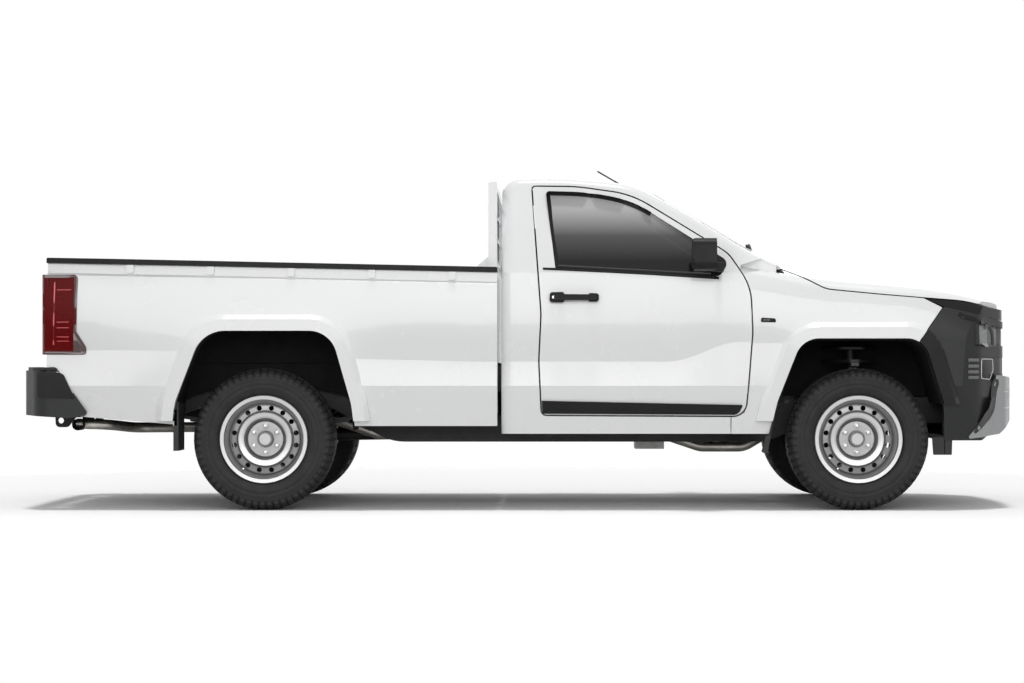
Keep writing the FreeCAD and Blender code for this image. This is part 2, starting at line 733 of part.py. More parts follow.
def build_hood(outer):
    """The hood: the top of the nose form, as thick as panel and frame together."""
    area = HOOD_EDGE + [(NOSE_X + 60, 1500, 0), (FRONT_AXLE_X - 395, 1500, 0)]
    hood = layer(outer, nose_loft(HOOD_WALL), side_prism(area, -1000, 1000)).common(front_plan(26))
    rear = plan_prism(
        [
            (FRONT_AXLE_X - 386, -1000, 0),
            (FRONT_AXLE_X - 376, 0, 2400),
            (FRONT_AXLE_X - 386, 1000, 0),
            (NOSE_X + 100, 1000, 0),
            (NOSE_X + 100, -1000, 0),
        ],
        900,
        1600,
    )
    hood = largest(hood.common(rear))
    pocket = box(HOOD_HINGE_X - 30, HOOD_HINGE_X + 14, -HOOD_HINGE_Y - 34, -HOOD_HINGE_Y + 14, 1260, HOOD_HINGE_Z + 20)
    ear = box(HOOD_HINGE_X - 10, HOOD_HINGE_X + 10, -HOOD_HINGE_Y - 28, -HOOD_HINGE_Y - 18, HOOD_HINGE_Z - 10, HOOD_HINGE_Z + 24)
    hole = rod(Vector(HOOD_HINGE_X, -400, HOOD_HINGE_Z), Vector(HOOD_HINGE_X, -200, HOOD_HINGE_Z), HOOD_PIN_RADIUS + PIN_CLEARANCE)
    hood = cut_all(hood, *both_sides(pocket)).fuse(both_sides(ear.cut(hole)))
    save("hood", largest(hood))


def build_front_end():
    """The bumper that wraps the whole front, with the lamps, grille and lower bar let into it."""
    profile = side_prism(
        [(FRONT_AXLE_X + 200, 366, 0), (FRONT_AXLE_X + 262 + 4, 800, 0), (FRONT_AXLE_X + 292 + 4, 860, 0), (FRONT_AXLE_X + 446, 1066, 0)]
        + [
            (FRONT_AXLE_X + 455, 1069.6, 4),
            (FRONT_AXLE_X + 690, 1020.6, 300),
            (NOSE_X - 60, 990, 30),
            (NOSE_X - 35, 900, 60),
            (NOSE_X - 34, 500, 40),
            (NOSE_X - 230, 366, 30),
        ],
        -1000,
        1000,
    )
    form = bumper_loft(0).common(profile).common(front_plan(0))
    hollow = bumper_loft(BUMPER_WALL).common(front_plan(BUMPER_DEPTH)).common(box(FRONT_AXLE_X, NOSE_X, -900, 900, 200, 1300))
    keep = side_prism(
        [
            (FRONT_AXLE_X + 266, 800, 0),
            (FRONT_AXLE_X + 296, 860, 0),
            (FRONT_AXLE_X + 400, 1003, 0),
            (FRONT_AXLE_X + 620, 1003, 0),
            (FRONT_AXLE_X + 620, 560, 0),
            (FRONT_AXLE_X + 262, 560, 0),
        ],
        -1000,
        -840,
    )
    wheel = side_prism(FRONT_ARCH, -1200, 1200)
    bumper = form.cut(hollow).fuse(both_sides(flare(FRONT_ARCH, SHOULDER_Y + 16, keep))).cut(wheel)
    bumper = bumper.cut(cross_prism(GRILLE_OPENING, FRONT_AXLE_X + 500, NOSE_X + 50))
    bumper = bumper.cut(lower_bar_space(SEAT_GAP))
    lamps = []
    for outline, inner_y in ((HEAD_LAMP, 470), (FOG_UNIT, 560)):
        pocket = side_prism(outline, -1000, -inner_y)
        lens = bumper_loft(6).common(front_plan(6)).common(side_prism(grown(outline, -SEAT_GAP), -1000, -inner_y - SEAT_GAP))
        lens = lens.cut(bumper_loft(BUMPER_WALL).common(front_plan(64)))
        lamps.extend(both_sides(lens))
        bumper = cut_all(bumper, *both_sides(pocket))
    strip = nose_loft(4).common(front_plan(4)).common(side_prism(UPPER_STRIP, -1000, 1000))
    strip = strip.cut(nose_loft(60).common(front_plan(60)))
    lamps.append(strip)
    save("front_bumper", largest(bumper))
    save("front_lower_bar", lower_bar())
    save("headlamps", *lamps)
    build_grille()




def lower_bar_space(grow):
    """The layer along the bottom of the front that belongs to the lower bar."""
    inner = bumper_loft(25 + grow).common(front_plan(LOWER_BAR_DEPTH + grow))
    return side_prism(grown(LOWER_BAR, grow), -1000, 1000).cut(inner)


def lower_bar():
    """The bar along the bottom of the front that stands furthest forward."""
    lip = plan_prism(
        [
            (NOSE_X - 210, -770, 0),
            (NOSE_X - 84, -700, 70),
            (NOSE_X - 36, -560, 160),
            (NOSE_X + bow(36), 0, 9000),
            (NOSE_X - 36, 560, 160),
            (NOSE_X - 84, 700, 70),
            (NOSE_X - 210, 770, 0),
        ],
        340,
        740,
    )
    form = bumper_loft(-5).common(front_plan(-5)).fuse(lip)
    return largest(form.common(lower_bar_space(0)))


def build_grille():
    """The grille: a backing frame with level bars that follow the front's bow."""
    hole = cross_prism(grown(GRILLE_OPENING, -SEAT_GAP), FRONT_AXLE_X + 500, NOSE_X + 50)
    band = front_plan(22).cut(front_plan(66))
    back = front_plan(58).cut(front_plan(66))
    slats = [box(FRONT_AXLE_X + 500, NOSE_X, -620, 620, z, z + 24) for z in range(724, 960, 54)]
    posts = [box(FRONT_AXLE_X + 500, NOSE_X, y - 10, y + 10, 716, 1000) for y in (-300, 0, 300)]
    bars = band.common(Part.makeCompound(slats)).common(hole)
    ribs = front_plan(30).cut(front_plan(66)).common(Part.makeCompound(posts)).common(hole)
    grille = back.common(hole).fuse([bars, ribs])
    save("grille", largest(grille))


# Cargo bed


def rail_z(x):
    """Height of the bed side's top edge, which falls towards the cab."""
    share = (x - BED_REAR_X) / (BED_FRONT_X - BED_REAR_X)
    return BED_RAIL_REAR_Z + share * (BED_RAIL_FRONT_Z - BED_RAIL_REAR_Z)


# Bed side stations: (share of the bed's length from the rear, sweep of the plan, depth of the crease, its height)
BED_STATIONS = (
    (0.0, 34, 12, 842),
    (0.08, 20, 12, 842),
    (0.22, 6, 4, 840),
    (0.45, 0, 1, 820),
    (0.62, 0, 3, 800),
    (0.74, 0, 14, 793),
    (0.88, 0, 20, 786),
    (1.0, 0, 22, 782),
)


def bed_sweep(x):
    """How far the bed side lies inboard of its widest plan at x."""
    share = (x - BED_REAR_X) / (BED_FRONT_X - BED_REAR_X)
    for before, after in zip(BED_STATIONS, BED_STATIONS[1:]):
        if share <= after[0]:
            part = (share - before[0]) / (after[0] - before[0])
            return before[1] + part * (after[1] - before[1])
    return 0.0


def bed_side_loft(grow):
    """The outer panel of the bed on the right, with its shoulder, crease and barrel."""
    wires = []
    for share, sweep, depth, crease_z in BED_STATIONS:
        x = BED_REAR_X + share * (BED_FRONT_X - BED_REAR_X)
        top = rail_z(x)
        out = grow - sweep
        outer = [(866, BED_SIDE_BOTTOM_Z), (SHOULDER_Y - 2, SHOULDER_Z), (SHOULDER_Y - 4 - depth, crease_z)]
        outer += [(904, 1030), (884, top - 62), (872, top - 50), (869, top)]
        low, shoulder, crease, barrel, band, step, rim = [Vector(x, -(y + out), z) for y, z in outer]
        inner_top = Vector(x, -BED_INNER_Y, top)
        inner_low = Vector(x, -BED_INNER_Y, BED_SIDE_BOTTOM_Z)
        edges = [Part.LineSegment(low, shoulder).toShape(), Part.LineSegment(shoulder, crease).toShape()]
        edges.append(Part.Arc(crease, barrel, band).toShape())
        loop = [band, step, rim, inner_top, inner_low, low]
        edges += [Part.LineSegment(a, b).toShape() for a, b in zip(loop, loop[1:])]
        wires.append(Part.Wire(edges))
    return Part.makeLoft(wires, True, False)


TAIL_LAMP = [
    (BED_REAR_X - 30, 819, 0),
    (BED_REAR_X - 30, 1240, 0),
    (BED_REAR_X + 164, 1240, 24),
    (BED_REAR_X + 160, 940, 20),
    (BED_REAR_X + 212, 852, 14),
    (BED_REAR_X + 210, 819, 18),
]


def build_bed():
    """The cargo bed: outer sides with their hooks, lamps, rail caps, tub and tailgate."""
    keep = box(REAR_AXLE_X - 640, REAR_AXLE_X + 640, -1000, -BED_INNER_Y, 470, 1100)
    side = bed_side_loft(0).fuse(flare(REAR_ARCH, SHOULDER_Y + 18, keep))
    rear_rise = side_prism(
        [(BED_REAR_X - 60, 300, 0), (BED_REAR_X - 60, 512, 0), (REAR_AXLE_X - 480, 452, 0), (REAR_AXLE_X - 480, 300, 0)], -1000, -700
    )
    lamp_pocket = side_prism(grown(TAIL_LAMP, SEAT_GAP), -1000, -BED_INNER_Y - 12)
    side = largest(cut_all(side, side_prism(REAR_ARCH, -1200, -500), rear_rise, lamp_pocket))
    hooks = []
    for i in range(HOOKS_PER_SIDE):
        x = BED_FRONT_X - 236 - i * HOOK_SPACING
        reach = -892 + bed_sweep(x)
        hooks.append(side_prism([(x - 19, rail_z(x) - 45, 10), (x - 19, rail_z(x) - 2, 4), (x + 19, rail_z(x) - 2, 4), (x + 19, rail_z(x) - 45, 10)], reach, -850))
    pin = rod(Vector(TAILGATE_HINGE_X, -BED_INNER_Y - 1, TAILGATE_HINGE_Z), Vector(TAILGATE_HINGE_X, -BED_INNER_Y + 24, TAILGATE_HINGE_Z), TAILGATE_PIN_RADIUS)
    save("bed_sides", *both_sides(side.fuse(hooks + [pin])))
    lamp = bed_side_loft(5).common(side_prism(TAIL_LAMP, -1000, -BED_INNER_Y - 12 - SEAT_GAP))
    rear_cover = box(BED_REAR_X - 22, BED_REAR_X, -868, -BED_INNER_Y - 13, 819, 1240)
    save("tail_lamps", *both_sides(lamp.fuse(rear_cover)))
    build_rail_caps()
    build_bed_floor()
    build_tailgate()


def build_rail_caps():
    """The dark rail caps on top of both sides, clear of the tailgate."""
    corners = [(BED_REAR_X - 4, 0), (BED_FRONT_X, 0), (BED_FRONT_X, RAIL_CAP_HEIGHT), (BED_REAR_X - 4, RAIL_CAP_HEIGHT)]
    outline = [(x, rail_z(x) + SEAT_GAP + rise, 8 if rise else 0) for x, rise in corners]
    plan = [
        (BED_REAR_X - 40, -850, 60),
        (BED_REAR_X + 330, -884, 300),
        (BED_FRONT_X + 20, -884, 0),
        (BED_FRONT_X + 20, -BED_INNER_Y, 0),
        (BED_REAR_X - 40, -BED_INNER_Y, 0),
    ]
    save("bed_rail_caps", *both_sides(side_prism(outline, -900, -700).common(plan_prism(plan, 1200, 1400))))


def build_bed_floor():
    """Floor, front wall and wheelhouses as one welded tub, with cross beams under the floor."""
    front = BED_FRONT_X
    rear = BED_REAR_X + TAILGATE_THICKNESS + 12
    wall_y = BED_INNER_Y - SEAT_GAP
    top = BED_FLOOR_Z
    low = top - BED_FLOOR_THICKNESS
    floor = box(rear, front, -wall_y, wall_y, low, top)
    groove_count = 11
    pitch = 2 * (WHEELHOUSE_Y - 30) / groove_count
    grooves = []
    for i in range(groove_count):
        y = -WHEELHOUSE_Y + 30 + (i + 0.5) * pitch
        grooves.append(box(rear + 60, front - 80, y - pitch * 0.22, y + pitch * 0.22, top - 9, top + 5))
    wall = cross_prism([(-wall_y, top - 20, 0), (-wall_y, 1258, 30), (wall_y, 1258, 30), (wall_y, top - 20, 0)], front - 44, front)
    pressings = []
    for i in range(4):
        y = -wall_y + 130 + i * 2 * (wall_y - 130) / 3
        shape = [(y - 108, top + 70, 30), (y - 108, 1200, 30), (y + 108, 1200, 30), (y + 108, top + 70, 30)]
        pressings.append(cross_prism(shape, front - 60, front - 34))
    beams = []
    for x in (rear + 30, REAR_AXLE_X - 560, REAR_AXLE_X + 560, front - 330, front - 60):
        beams.append(box(x - 30, x + 30, -700, 700, low - 60, low))
    tub = floor.cut(grooves).fuse([wall.cut(pressings)] + both_sides(wheelhouse(0)) + beams)
    tub = cut_all(tub, *both_sides(wheelhouse(14)))
    save("cargo_bed", largest(tub))


def wheelhouse(inset):
    """The box over a rear wheel, or the space inside it."""
    length = WHEELHOUSE_HALF_LENGTH - inset
    low = BED_FLOOR_Z - BED_FLOOR_THICKNESS - (80 if inset else 0)
    outline = [
        (REAR_AXLE_X - length, low, 0),
        (REAR_AXLE_X - length + 110, WHEELHOUSE_TOP_Z - inset, 120),
        (REAR_AXLE_X + length - 110, WHEELHOUSE_TOP_Z - inset, 120),
        (REAR_AXLE_X + length, low, 0),
    ]
    return side_prism(outline, -BED_INNER_Y + SEAT_GAP - (200 if inset else 0), -WHEELHOUSE_Y - inset)


def build_tailgate():
    """The tailgate between the bed sides, hinged along its bottom edge."""
    width = BED_INNER_Y - PANEL_GAP
    rear = BED_REAR_X - 12
    top = BED_RAIL_REAR_Z + 18
    inner = rear + TAILGATE_THICKNESS
    panel = side_prism(
        [(rear + 2, TAILGATE_BOTTOM_Z, 10), (rear - 6, 1060, 600), (rear + 4, top, 14), (inner, top, 10), (inner, TAILGATE_BOTTOM_Z, 10)],
        -width,
        width,
    )
    recess = cross_prism([(-560, 880, 30), (-600, 1010, 30), (600, 1010, 30), (560, 880, 30)], rear - 20, rear + 6)
    handle_cup = cross_prism([(-105, 1180, 18), (-95, 1250, 18), (95, 1250, 18), (105, 1180, 18)], rear - 20, rear + 20)
    inner_press = cross_prism([(-640, 860, 40), (-640, 1240, 40), (640, 1240, 40), (640, 860, 40)], inner - 10, inner + 10)
    lever = cross_prism([(-92, 1212, 8), (-88, 1246, 8), (88, 1246, 8), (92, 1212, 8)], rear - 2, rear + 20)
    hole = rod(
        Vector(TAILGATE_HINGE_X, -width - 5, TAILGATE_HINGE_Z),
        Vector(TAILGATE_HINGE_X, -BED_INNER_Y + 26, TAILGATE_HINGE_Z),
        TAILGATE_PIN_RADIUS + PIN_CLEARANCE,
    )
    save("tailgate", cut_all(panel, recess, handle_cup, inner_press).fuse(lever).cut(both_sides(hole)))


def build_guard():
    """The frame behind the cab's window: two posts, a top bar and cross bars, on the bed's rails."""
    x1 = BED_FRONT_X - 2
    x0 = x1 - 46
    foot = rail_z(x0 - 66) + RAIL_CAP_HEIGHT + 2 * SEAT_GAP
    top = 1732.0
    post_y = 790.0
    post = side_prism([(x0, foot, 0), (x0, top, 16), (x1, top, 10), (x1, foot, 0)], -post_y - 28, -post_y + 28)
    gusset = side_prism([(x0 - 66, foot, 0), (x0, foot + 56, 0), (x0 + 10, foot, 0)], -post_y - 4, -post_y + 4)
    bars = [box(x0, x1, -post_y, post_y, top - 46, top - 2)]
    for z in (1340, 1470, 1600):
        bars.append(rod(Vector(x0 + 22, -post_y, z), Vector(x0 + 22, post_y, z), 13))
    for y in (-300, 300):
        bars.append(rod(Vector(x0 + 22, y, 1340), Vector(x0 + 22, y, top - 20), 11))
    sides = both_sides(post, gusset)
    save("guard_frame", sides[0].fuse(sides[1:] + bars))


# Rear bumper


def build_rear_bumper():
    """A step bumper with tall corners and a lower tread in the middle."""
    rear = TAIL_X
    form = side_prism(
        [
            (rear + 10, 500, 16),
            (rear, 560, 40),
            (rear, 753, 22),
            (BED_REAR_X + 52, 753, 26),
            (BED_REAR_X + 226, 500, 18),
            (BED_REAR_X + 110, 485, 20),
        ],
        -900,
        900,
    )
    half_plan = [
        (rear + 16, 740, 90),
        (rear + 110, 884, 110),
        (BED_REAR_X + 300, 892, 0),
        (BED_REAR_X + 300, 760, 0),
        (BED_REAR_X + 60, 720, 30),
        (BED_REAR_X - 40, 640, 0),
    ]
    plan = [(rear, 0, 3000)] + half_plan + [(x, -y, r) for x, y, r in reversed(half_plan)]
    bumper = form.common(plan_prism(plan, 400, 800))
    clear_of_gate = box(rear - 10, BED_REAR_X + 80, -BED_INNER_Y - 2, BED_INNER_Y + 2, 736, 800)
    clear_of_bed = bed_side_loft(8).common(box(BED_REAR_X - 10, BED_REAR_X + 400, -1000, 0, 400, 800))
    behind_bed = box(BED_REAR_X - 30, BED_REAR_X + 20, -900, -BED_INNER_Y + 20, 730, 800)
    tread = box(rear + 20, BED_REAR_X - 46, -420, 420, 716, 740)
    plate_seat = cross_prism([(-270, 560, 20), (-270, 690, 20), (270, 690, 20), (270, 560, 20)], rear - 20, rear + 26)
    bumper = cut_all(bumper, clear_of_gate, tread, plate_seat, *both_sides(clear_of_bed, behind_bed))
    save("rear_bumper", largest(bumper))


# Chassis


def rail_profile():
    """Side view of a frame rail, which rises over both axles."""
    z = FRAME_Z
    h = FRAME_RAIL_HEIGHT
    rear_end = REAR_AXLE_X - 1130
    return [
        (rear_end, z + 130, 0),
        (REAR_AXLE_X - 520, z + 140, 200),
        (REAR_AXLE_X - 340, z + 200, 300),
        (REAR_AXLE_X + 300, z + 200, 300),
        (REAR_AXLE_X + 640, z, 300),
        (FRONT_AXLE_X - 430, z, 300),
        (FRONT_AXLE_X - 230, z + 100, 300),
        (FRONT_AXLE_X + 560, z + 100, 0),
        (FRONT_AXLE_X + 560, z + 100 + h, 0),
        (FRONT_AXLE_X - 260, z + 100 + h, 300),
        (FRONT_AXLE_X - 470, z + h, 300),
        (REAR_AXLE_X + 670, z + h, 300),
        (REAR_AXLE_X + 320, z + 190 + h, 300),
        (REAR_AXLE_X - 340, z + 190 + h, 300),
        (REAR_AXLE_X - 520, z + 130 + h, 200),
        (rear_end, z + 120 + h, 0),
    ]


def build_frame():
    """The ladder frame: two rails with their kick-ups, cross members, mounts and brackets."""
    x, r = FRONT_AXLE_X, REAR_AXLE_X
    plan = [
        (r - 1200, -FRAME_OUTER_Y, 0),
        (x - 860, -FRAME_OUTER_Y, 300),
        (x - 500, -FRAME_FRONT_OUTER_Y, 300),
        (x + 600, -FRAME_FRONT_OUTER_Y, 0),
        (x + 600, -FRAME_FRONT_OUTER_Y + FRAME_RAIL_WIDTH, 0),
        (x - 500, -FRAME_FRONT_OUTER_Y + FRAME_RAIL_WIDTH, 300),
        (x - 860, -FRAME_OUTER_Y + FRAME_RAIL_WIDTH, 300),
        (r - 1200, -FRAME_OUTER_Y + FRAME_RAIL_WIDTH, 0),
    ]
    rail = side_prism(rail_profile(), -600, -300).common(plan_prism(plan, 200, 900))
    rail = rail.fuse(rail_mounts() + frame_brackets())
    save("frame_rails", *both_sides(rail))
    beams = [
        rod(Vector(r - 1090, -460, 550), Vector(r - 1090, 460, 550), 38),
        rod(Vector(r - 240, -460, 630), Vector(r - 240, 460, 630), 30),
        rod(Vector(r + 420, -460, 570), Vector(r + 420, 460, 570), DAMPER_TUBE_RADIUS),
        box(CAB_REAR_X + 50, CAB_REAR_X + 130, -460, 460, 452, 486),
        box(x - 760, x - 640, -460, 460, FRAME_Z + 2, GEARBOX_SEAT_Z),
        box(x - 110, x + 110, -460, 460, ENGINE_SEAT_Z - 82, ENGINE_SEAT_Z),
        box(x + 470, x + 550, -460, 460, 470, 560),
    ]
    between = plan_prism(
        [(px, py + FRAME_RAIL_WIDTH + SEAT_GAP, pr) for px, py, pr in plan[:4]]
        + [(px, -py - FRAME_RAIL_WIDTH - SEAT_GAP, pr) for px, py, pr in reversed(plan[:4])],
        200,
        900,
    )
    spare_carrier = box(r - 700, r - 640, -465, 465, SPARE_Z + 98, SPARE_Z + 128)
    spare_post = rod(Vector(r - 670, 0, SPARE_Z + 110), Vector(r - 670, 0, SPARE_Z + 4 + SEAT_GAP), 20)
    spare_legs = both_sides(box(r - 700, r - 640, -465, -432, rail_top_z(r - 640) + SEAT_GAP, SPARE_Z + 110))
    save("frame_crossmembers", *[beam.common(between) for beam in beams], spare_carrier.fuse([spare_post] + spare_legs))


def rail_top_z(x):
    """Height of the rail's top behind the rear axle, where it runs level but for a slight fall."""
    start, end = REAR_AXLE_X - 520, REAR_AXLE_X - 1130
    return FRAME_Z + FRAME_RAIL_HEIGHT + 130 - 10 * (start - x) / (start - end)


def rail_mounts():
    """Body mounts that stand on one rail."""
    cab_seat = FLOOR_Z - CAB_FLOOR_THICKNESS - SEAT_GAP
    bed_seat = BED_FLOOR_Z - BED_FLOOR_THICKNESS - 60 - SEAT_GAP
    mounts = []
    for x, low, high in (
        (CAB_REAR_X + 170, 450, cab_seat),
        (CAB_REAR_X + 900, 450, cab_seat),
        (BED_FRONT_X - 330, 450, bed_seat),
        (REAR_AXLE_X + 560, 420, bed_seat),
        (REAR_AXLE_X - 560, 560, bed_seat),
    ):
        mounts.append(rod(Vector(x, -465, low), Vector(x, -465, high), 30))
    return mounts


def spring_hanger(x):
    """A bracket on the rail's outside that holds one spring eye between its cheeks."""
    block = side_prism(
        [
            (x - 34, SPRING_EYE_Z - 30, 14),
            (x - 34, SPRING_EYE_Z + 64, 14),
            (x + 34, SPRING_EYE_Z + 64, 14),
            (x + 34, SPRING_EYE_Z - 30, 14),
        ],
        -SPRING_Y - 44,
        -FRAME_OUTER_Y + 20,
    )
    half_slot = SPRING_WIDTH / 2 + SEAT_GAP
    slot = box(x - 60, x + 60, -SPRING_Y - half_slot, -SPRING_Y + half_slot, 300, SPRING_EYE_Z + SPRING_EYE_RADIUS + 3)
    return block.cut(slot)


def frame_brackets():
    """Spring hangers, bumper brackets and towing eye of one side."""
    x, r = FRONT_AXLE_X, REAR_AXLE_X
    rear_bracket = box(BED_REAR_X - 40 + SEAT_GAP, r - 1090, -500, -440, 520, 610)
    front_bracket = box(x + 540, x + 850, -420, -370, 480, 560).common(front_plan(BUMPER_DEPTH + SEAT_GAP))
    eye = side_prism(
        [(r - 1176, 428, 24), (r - 1180, 530, 4), (r - 1060, 540, 0), (r - 1060, 490, 0), (r - 1110, 428, 24)],
        -TOW_EYE_Y - TOW_EYE_THICKNESS / 2,
        -TOW_EYE_Y + TOW_EYE_THICKNESS / 2,
    )
    hole = rod(Vector(TOW_EYE_X, -600, TOW_EYE_Z), Vector(TOW_EYE_X, -400, TOW_EYE_Z), TOW_EYE_HOLE_RADIUS)
    return [
        spring_hanger(r + SPRING_HALF_LENGTH),
        spring_hanger(r - SPRING_HALF_LENGTH),
        rear_bracket,
        front_bracket,
        eye.cut(hole),
    ]


# Suspension and driveline


def strut_tower():
    """The bridge over a front strut, on two legs that stand on the rail."""
    x = FRONT_AXLE_X
    rail_top = FRAME_Z + 100 + FRAME_RAIL_HEIGHT + SEAT_GAP
    legs = [box(x + s * 130 - 20, x + s * 130 + 20, -428, -388, rail_top, STRUT_TOP_Z + 12) for s in (-1, 1)]
    plan = [
        (x - 150, -388, 0),
        (x - 150, -440, 20),
        (x - 70, -580, 50),
        (x + 70, -580, 50),
        (x + 150, -440, 20),
        (x + 150, -388, 0),
    ]
    return plan_prism(plan, STRUT_TOP_Z, STRUT_TOP_Z + 12).fuse(legs)


def build_suspension():
    """Front arms of both sides, and struts with the towers over them."""
    x = FRONT_AXLE_X
    outer = -KINGPIN_Y - 8
    lower = plan_prism(
        [
            (x - 190, -400, 30),
            (x - 26, -KINGPIN_Y + 3, 24),
            (x + 26, -KINGPIN_Y + 3, 24),
            (x + 190, -400, 30),
            (x + 120, -400, 20),
            (x + 30, -500, 30),
            (x - 30, -500, 30),
            (x - 120, -400, 20),
        ],
        LOWER_ARM_Z - 26,
        LOWER_ARM_Z,
    )
    pads = []
    for s in (-1, 1):
        pads.append(rod(Vector(x + s * 90, -405, LOWER_ARM_Z - 6), Vector(x + s * 180, -405, LOWER_ARM_Z - 6), 22))
        pads.append(box(x + s * 135 - 24, x + s * 135 + 24, -425, -385, LOWER_ARM_Z, FRAME_Z + 100 - SEAT_GAP))
    upper = plan_prism(
        [
            (x - 150, -428 - SEAT_GAP, 8),
            (x - 110, -590, 60),
            (x - 26, outer, 24),
            (x + 26, outer, 24),
            (x + 110, -590, 60),
            (x + 150, -428 - SEAT_GAP, 8),
            (x + 100, -428 - SEAT_GAP, 8),
            (x + 74, -560, 40),
            (x, -640, 50),
            (x - 74, -560, 40),
            (x - 100, -428 - SEAT_GAP, 8),
        ],
        UPPER_ARM_Z,
        UPPER_ARM_Z + 16,
    )
    save("front_arms", *both_sides(lower.fuse(pads), upper))
    foot = Vector(x, -566, LOWER_ARM_Z + 4)
    head = Vector(x, -506, STRUT_TOP_Z - 2)
    along = (head - foot).normalize()
    strut = rod(foot, head, 24)
    spring = [Part.makeCone(42, 54, 15, foot + along * (190 + 30 * i), along) for i in range(8)]
    spring += [Part.makeCone(54, 42, 15, foot + along * (205 + 30 * i), along) for i in range(8)]
    strut = strut.fuse(spring).common(box(x - 100, x + 100, -700, -400, LOWER_ARM_Z + SEAT_GAP, STRUT_TOP_Z - SEAT_GAP))
    save("front_struts", *both_sides(strut, strut_tower()))


def build_rear_axle():
    """The live axle, its springs and dampers."""
    x = REAR_AXLE_X
    tube_radius = 42.0
    tube = rod(Vector(x, -WHEEL_Y + 95, AXLE_Z), Vector(x, WHEEL_Y - 95, AXLE_Z), tube_radius)
    housing = Part.makeSphere(150, Vector(x, 0, AXLE_Z)).common(box(x - 150, x + 150, -110, 110, 200, 600))
    nose = rod(Vector(x, 0, AXLE_Z), Vector(x + 240, 0, AXLE_Z + 4), 62)
    drums = both_sides(
        rod(Vector(x, -WHEEL_Y + 150, AXLE_Z), Vector(x, -WHEEL_Y + 62, AXLE_Z), 150),
        rod(Vector(x, -WHEEL_Y + 70, AXLE_Z), Vector(x, -WHEEL_Y - 1 + SEAT_GAP, AXLE_Z), 58),
    )
    save("rear_axle", tube.fuse([housing, nose] + drums))
    leaves = []
    for i, half in enumerate((SPRING_HALF_LENGTH, 560, 430, 300, 190)):
        low = AXLE_Z + tube_radius + SEAT_GAP + LEAF_THICKNESS * (4 - i)
        rise = 60 * (half / SPRING_HALF_LENGTH) ** 2
        ends = [Vector(x - half, 0, low + rise), Vector(x + half, 0, low + rise)]
        up = Vector(0, 0, LEAF_THICKNESS)
        middle = Vector(x, 0, low)
        edges = [
            Part.Arc(ends[0], middle, ends[1]).toShape(),
            Part.LineSegment(ends[1], ends[1] + up).toShape(),
            Part.Arc(ends[1] + up, middle + up, ends[0] + up).toShape(),
            Part.LineSegment(ends[0] + up, ends[0]).toShape(),
        ]
        leaf = Part.Face(Part.Wire(edges)).extrude(Vector(0, SPRING_WIDTH, 0))
        leaves.append(leaf.translated(Vector(0, -SPRING_Y - SPRING_WIDTH / 2, 0)))
    for s in (-1, 1):
        at = Vector(x + s * SPRING_HALF_LENGTH, -SPRING_Y - SPRING_WIDTH / 2, SPRING_EYE_Z)
        leaves.append(Part.makeCylinder(SPRING_EYE_RADIUS, SPRING_WIDTH, at, Vector(0, 1, 0)))
    save("leaf_springs", *both_sides(leaves[0].fuse(leaves[1:])))
    eye = 20.0
    low_eye = Vector(x + tube_radius + eye + SEAT_GAP, -400, AXLE_Z)
    high_eye = Vector(x + 420 - DAMPER_TUBE_RADIUS - eye - SEAT_GAP, -400, 570)
    eyes = [rod(at - Vector(0, 20, 0), at + Vector(0, 20, 0), eye) for at in (low_eye, high_eye)]
    along = (high_eye - low_eye).normalize()
    middle = (high_eye - low_eye).Length / 2
    damper = rod(low_eye, high_eye, 12).fuse(eyes + [rod(low_eye + along * 30, low_eye + along * (middle + 30), 24)])
    save("rear_dampers", *both_sides(damper))


def build_driveline():
    """Engine and gearbox as plain masses, the shaft, tank, exhaust and spare wheel."""
    x = FRONT_AXLE_X
    engine = box(x - 330, x + 300, -230, 230, ENGINE_SEAT_Z + SEAT_GAP, 1010)
    bell = Part.makeCone(190, 105, 240, Vector(x - 330, 0, 530), Vector(-1, 0, 0)).common(box(0, x, -230, 230, 400, 900))
    gearbox = box(x - 1020, x - 560, -115, 115, 410, 630)
    transfer = box(x - 1150, x - 990, -128, 128, 300, 485)
    foot = box(x - 720, x - 660, -100, 100, GEARBOX_SEAT_Z + SEAT_GAP, 412)
    save("engine_gearbox", engine.fuse([bell, gearbox, transfer, foot]))
    start = Vector(x - 1151, 0, 405)
    end = Vector(REAR_AXLE_X + 241, 0, AXLE_Z + 4)
    along = (end - start).normalize()
    joints = [rod(start, start + along * 70, 52), rod(end - along * 70, end, 52)]
    save("propshaft", rod(start, end, 34).fuse(joints))
    tank_y = FRAME_OUTER_Y - FRAME_RAIL_WIDTH - SEAT_GAP
    tank = plan_prism([(REAR_AXLE_X + 640, 130, 40), (REAR_AXLE_X + 640, tank_y, 10), (CAB_REAR_X - 20, tank_y, 10), (CAB_REAR_X - 20, 130, 40)], 340, 620)
    save("fuel_tank", tank)
    r = REAR_AXLE_X
    path = [
        Vector(x - 250, -258.3, 500),
        Vector(x - 560, -300, 318),
        Vector(x - 800, -300, 318),
        Vector(x - 1000, -300, 385),
        Vector(r + 560, -250, 385),
        Vector(r + 220, -250, 500),
        Vector(r - 160, -250, 500),
        Vector(r - 340, -250, 425),
        Vector(r - 760, -400, 425),
        Vector(r - 870, -585, 445),
        Vector(r - 1040, -590, 450),
    ]
    hanger = box(x - 720, x - 700, -310, -290, 318, FRAME_Z + 2 - SEAT_GAP)
    save("exhaust", pipe(path, 28, 120).fuse(hanger))
    flat = [(0, -8), (120, -8), (160, 40), (200, 40), (214, -60), (236, -88), (330, -96), (362, -70), (373, -30)]
    flat += [(373, 30), (362, 70), (330, 96), (236, 88), (214, 60), (190, 52), (150, 52), (112, 4), (0, 4)]
    save("spare_wheel", lathe(flat, Vector(r - 670, 0, SPARE_Z), Vector(0, 0, 1)))


# Wheels


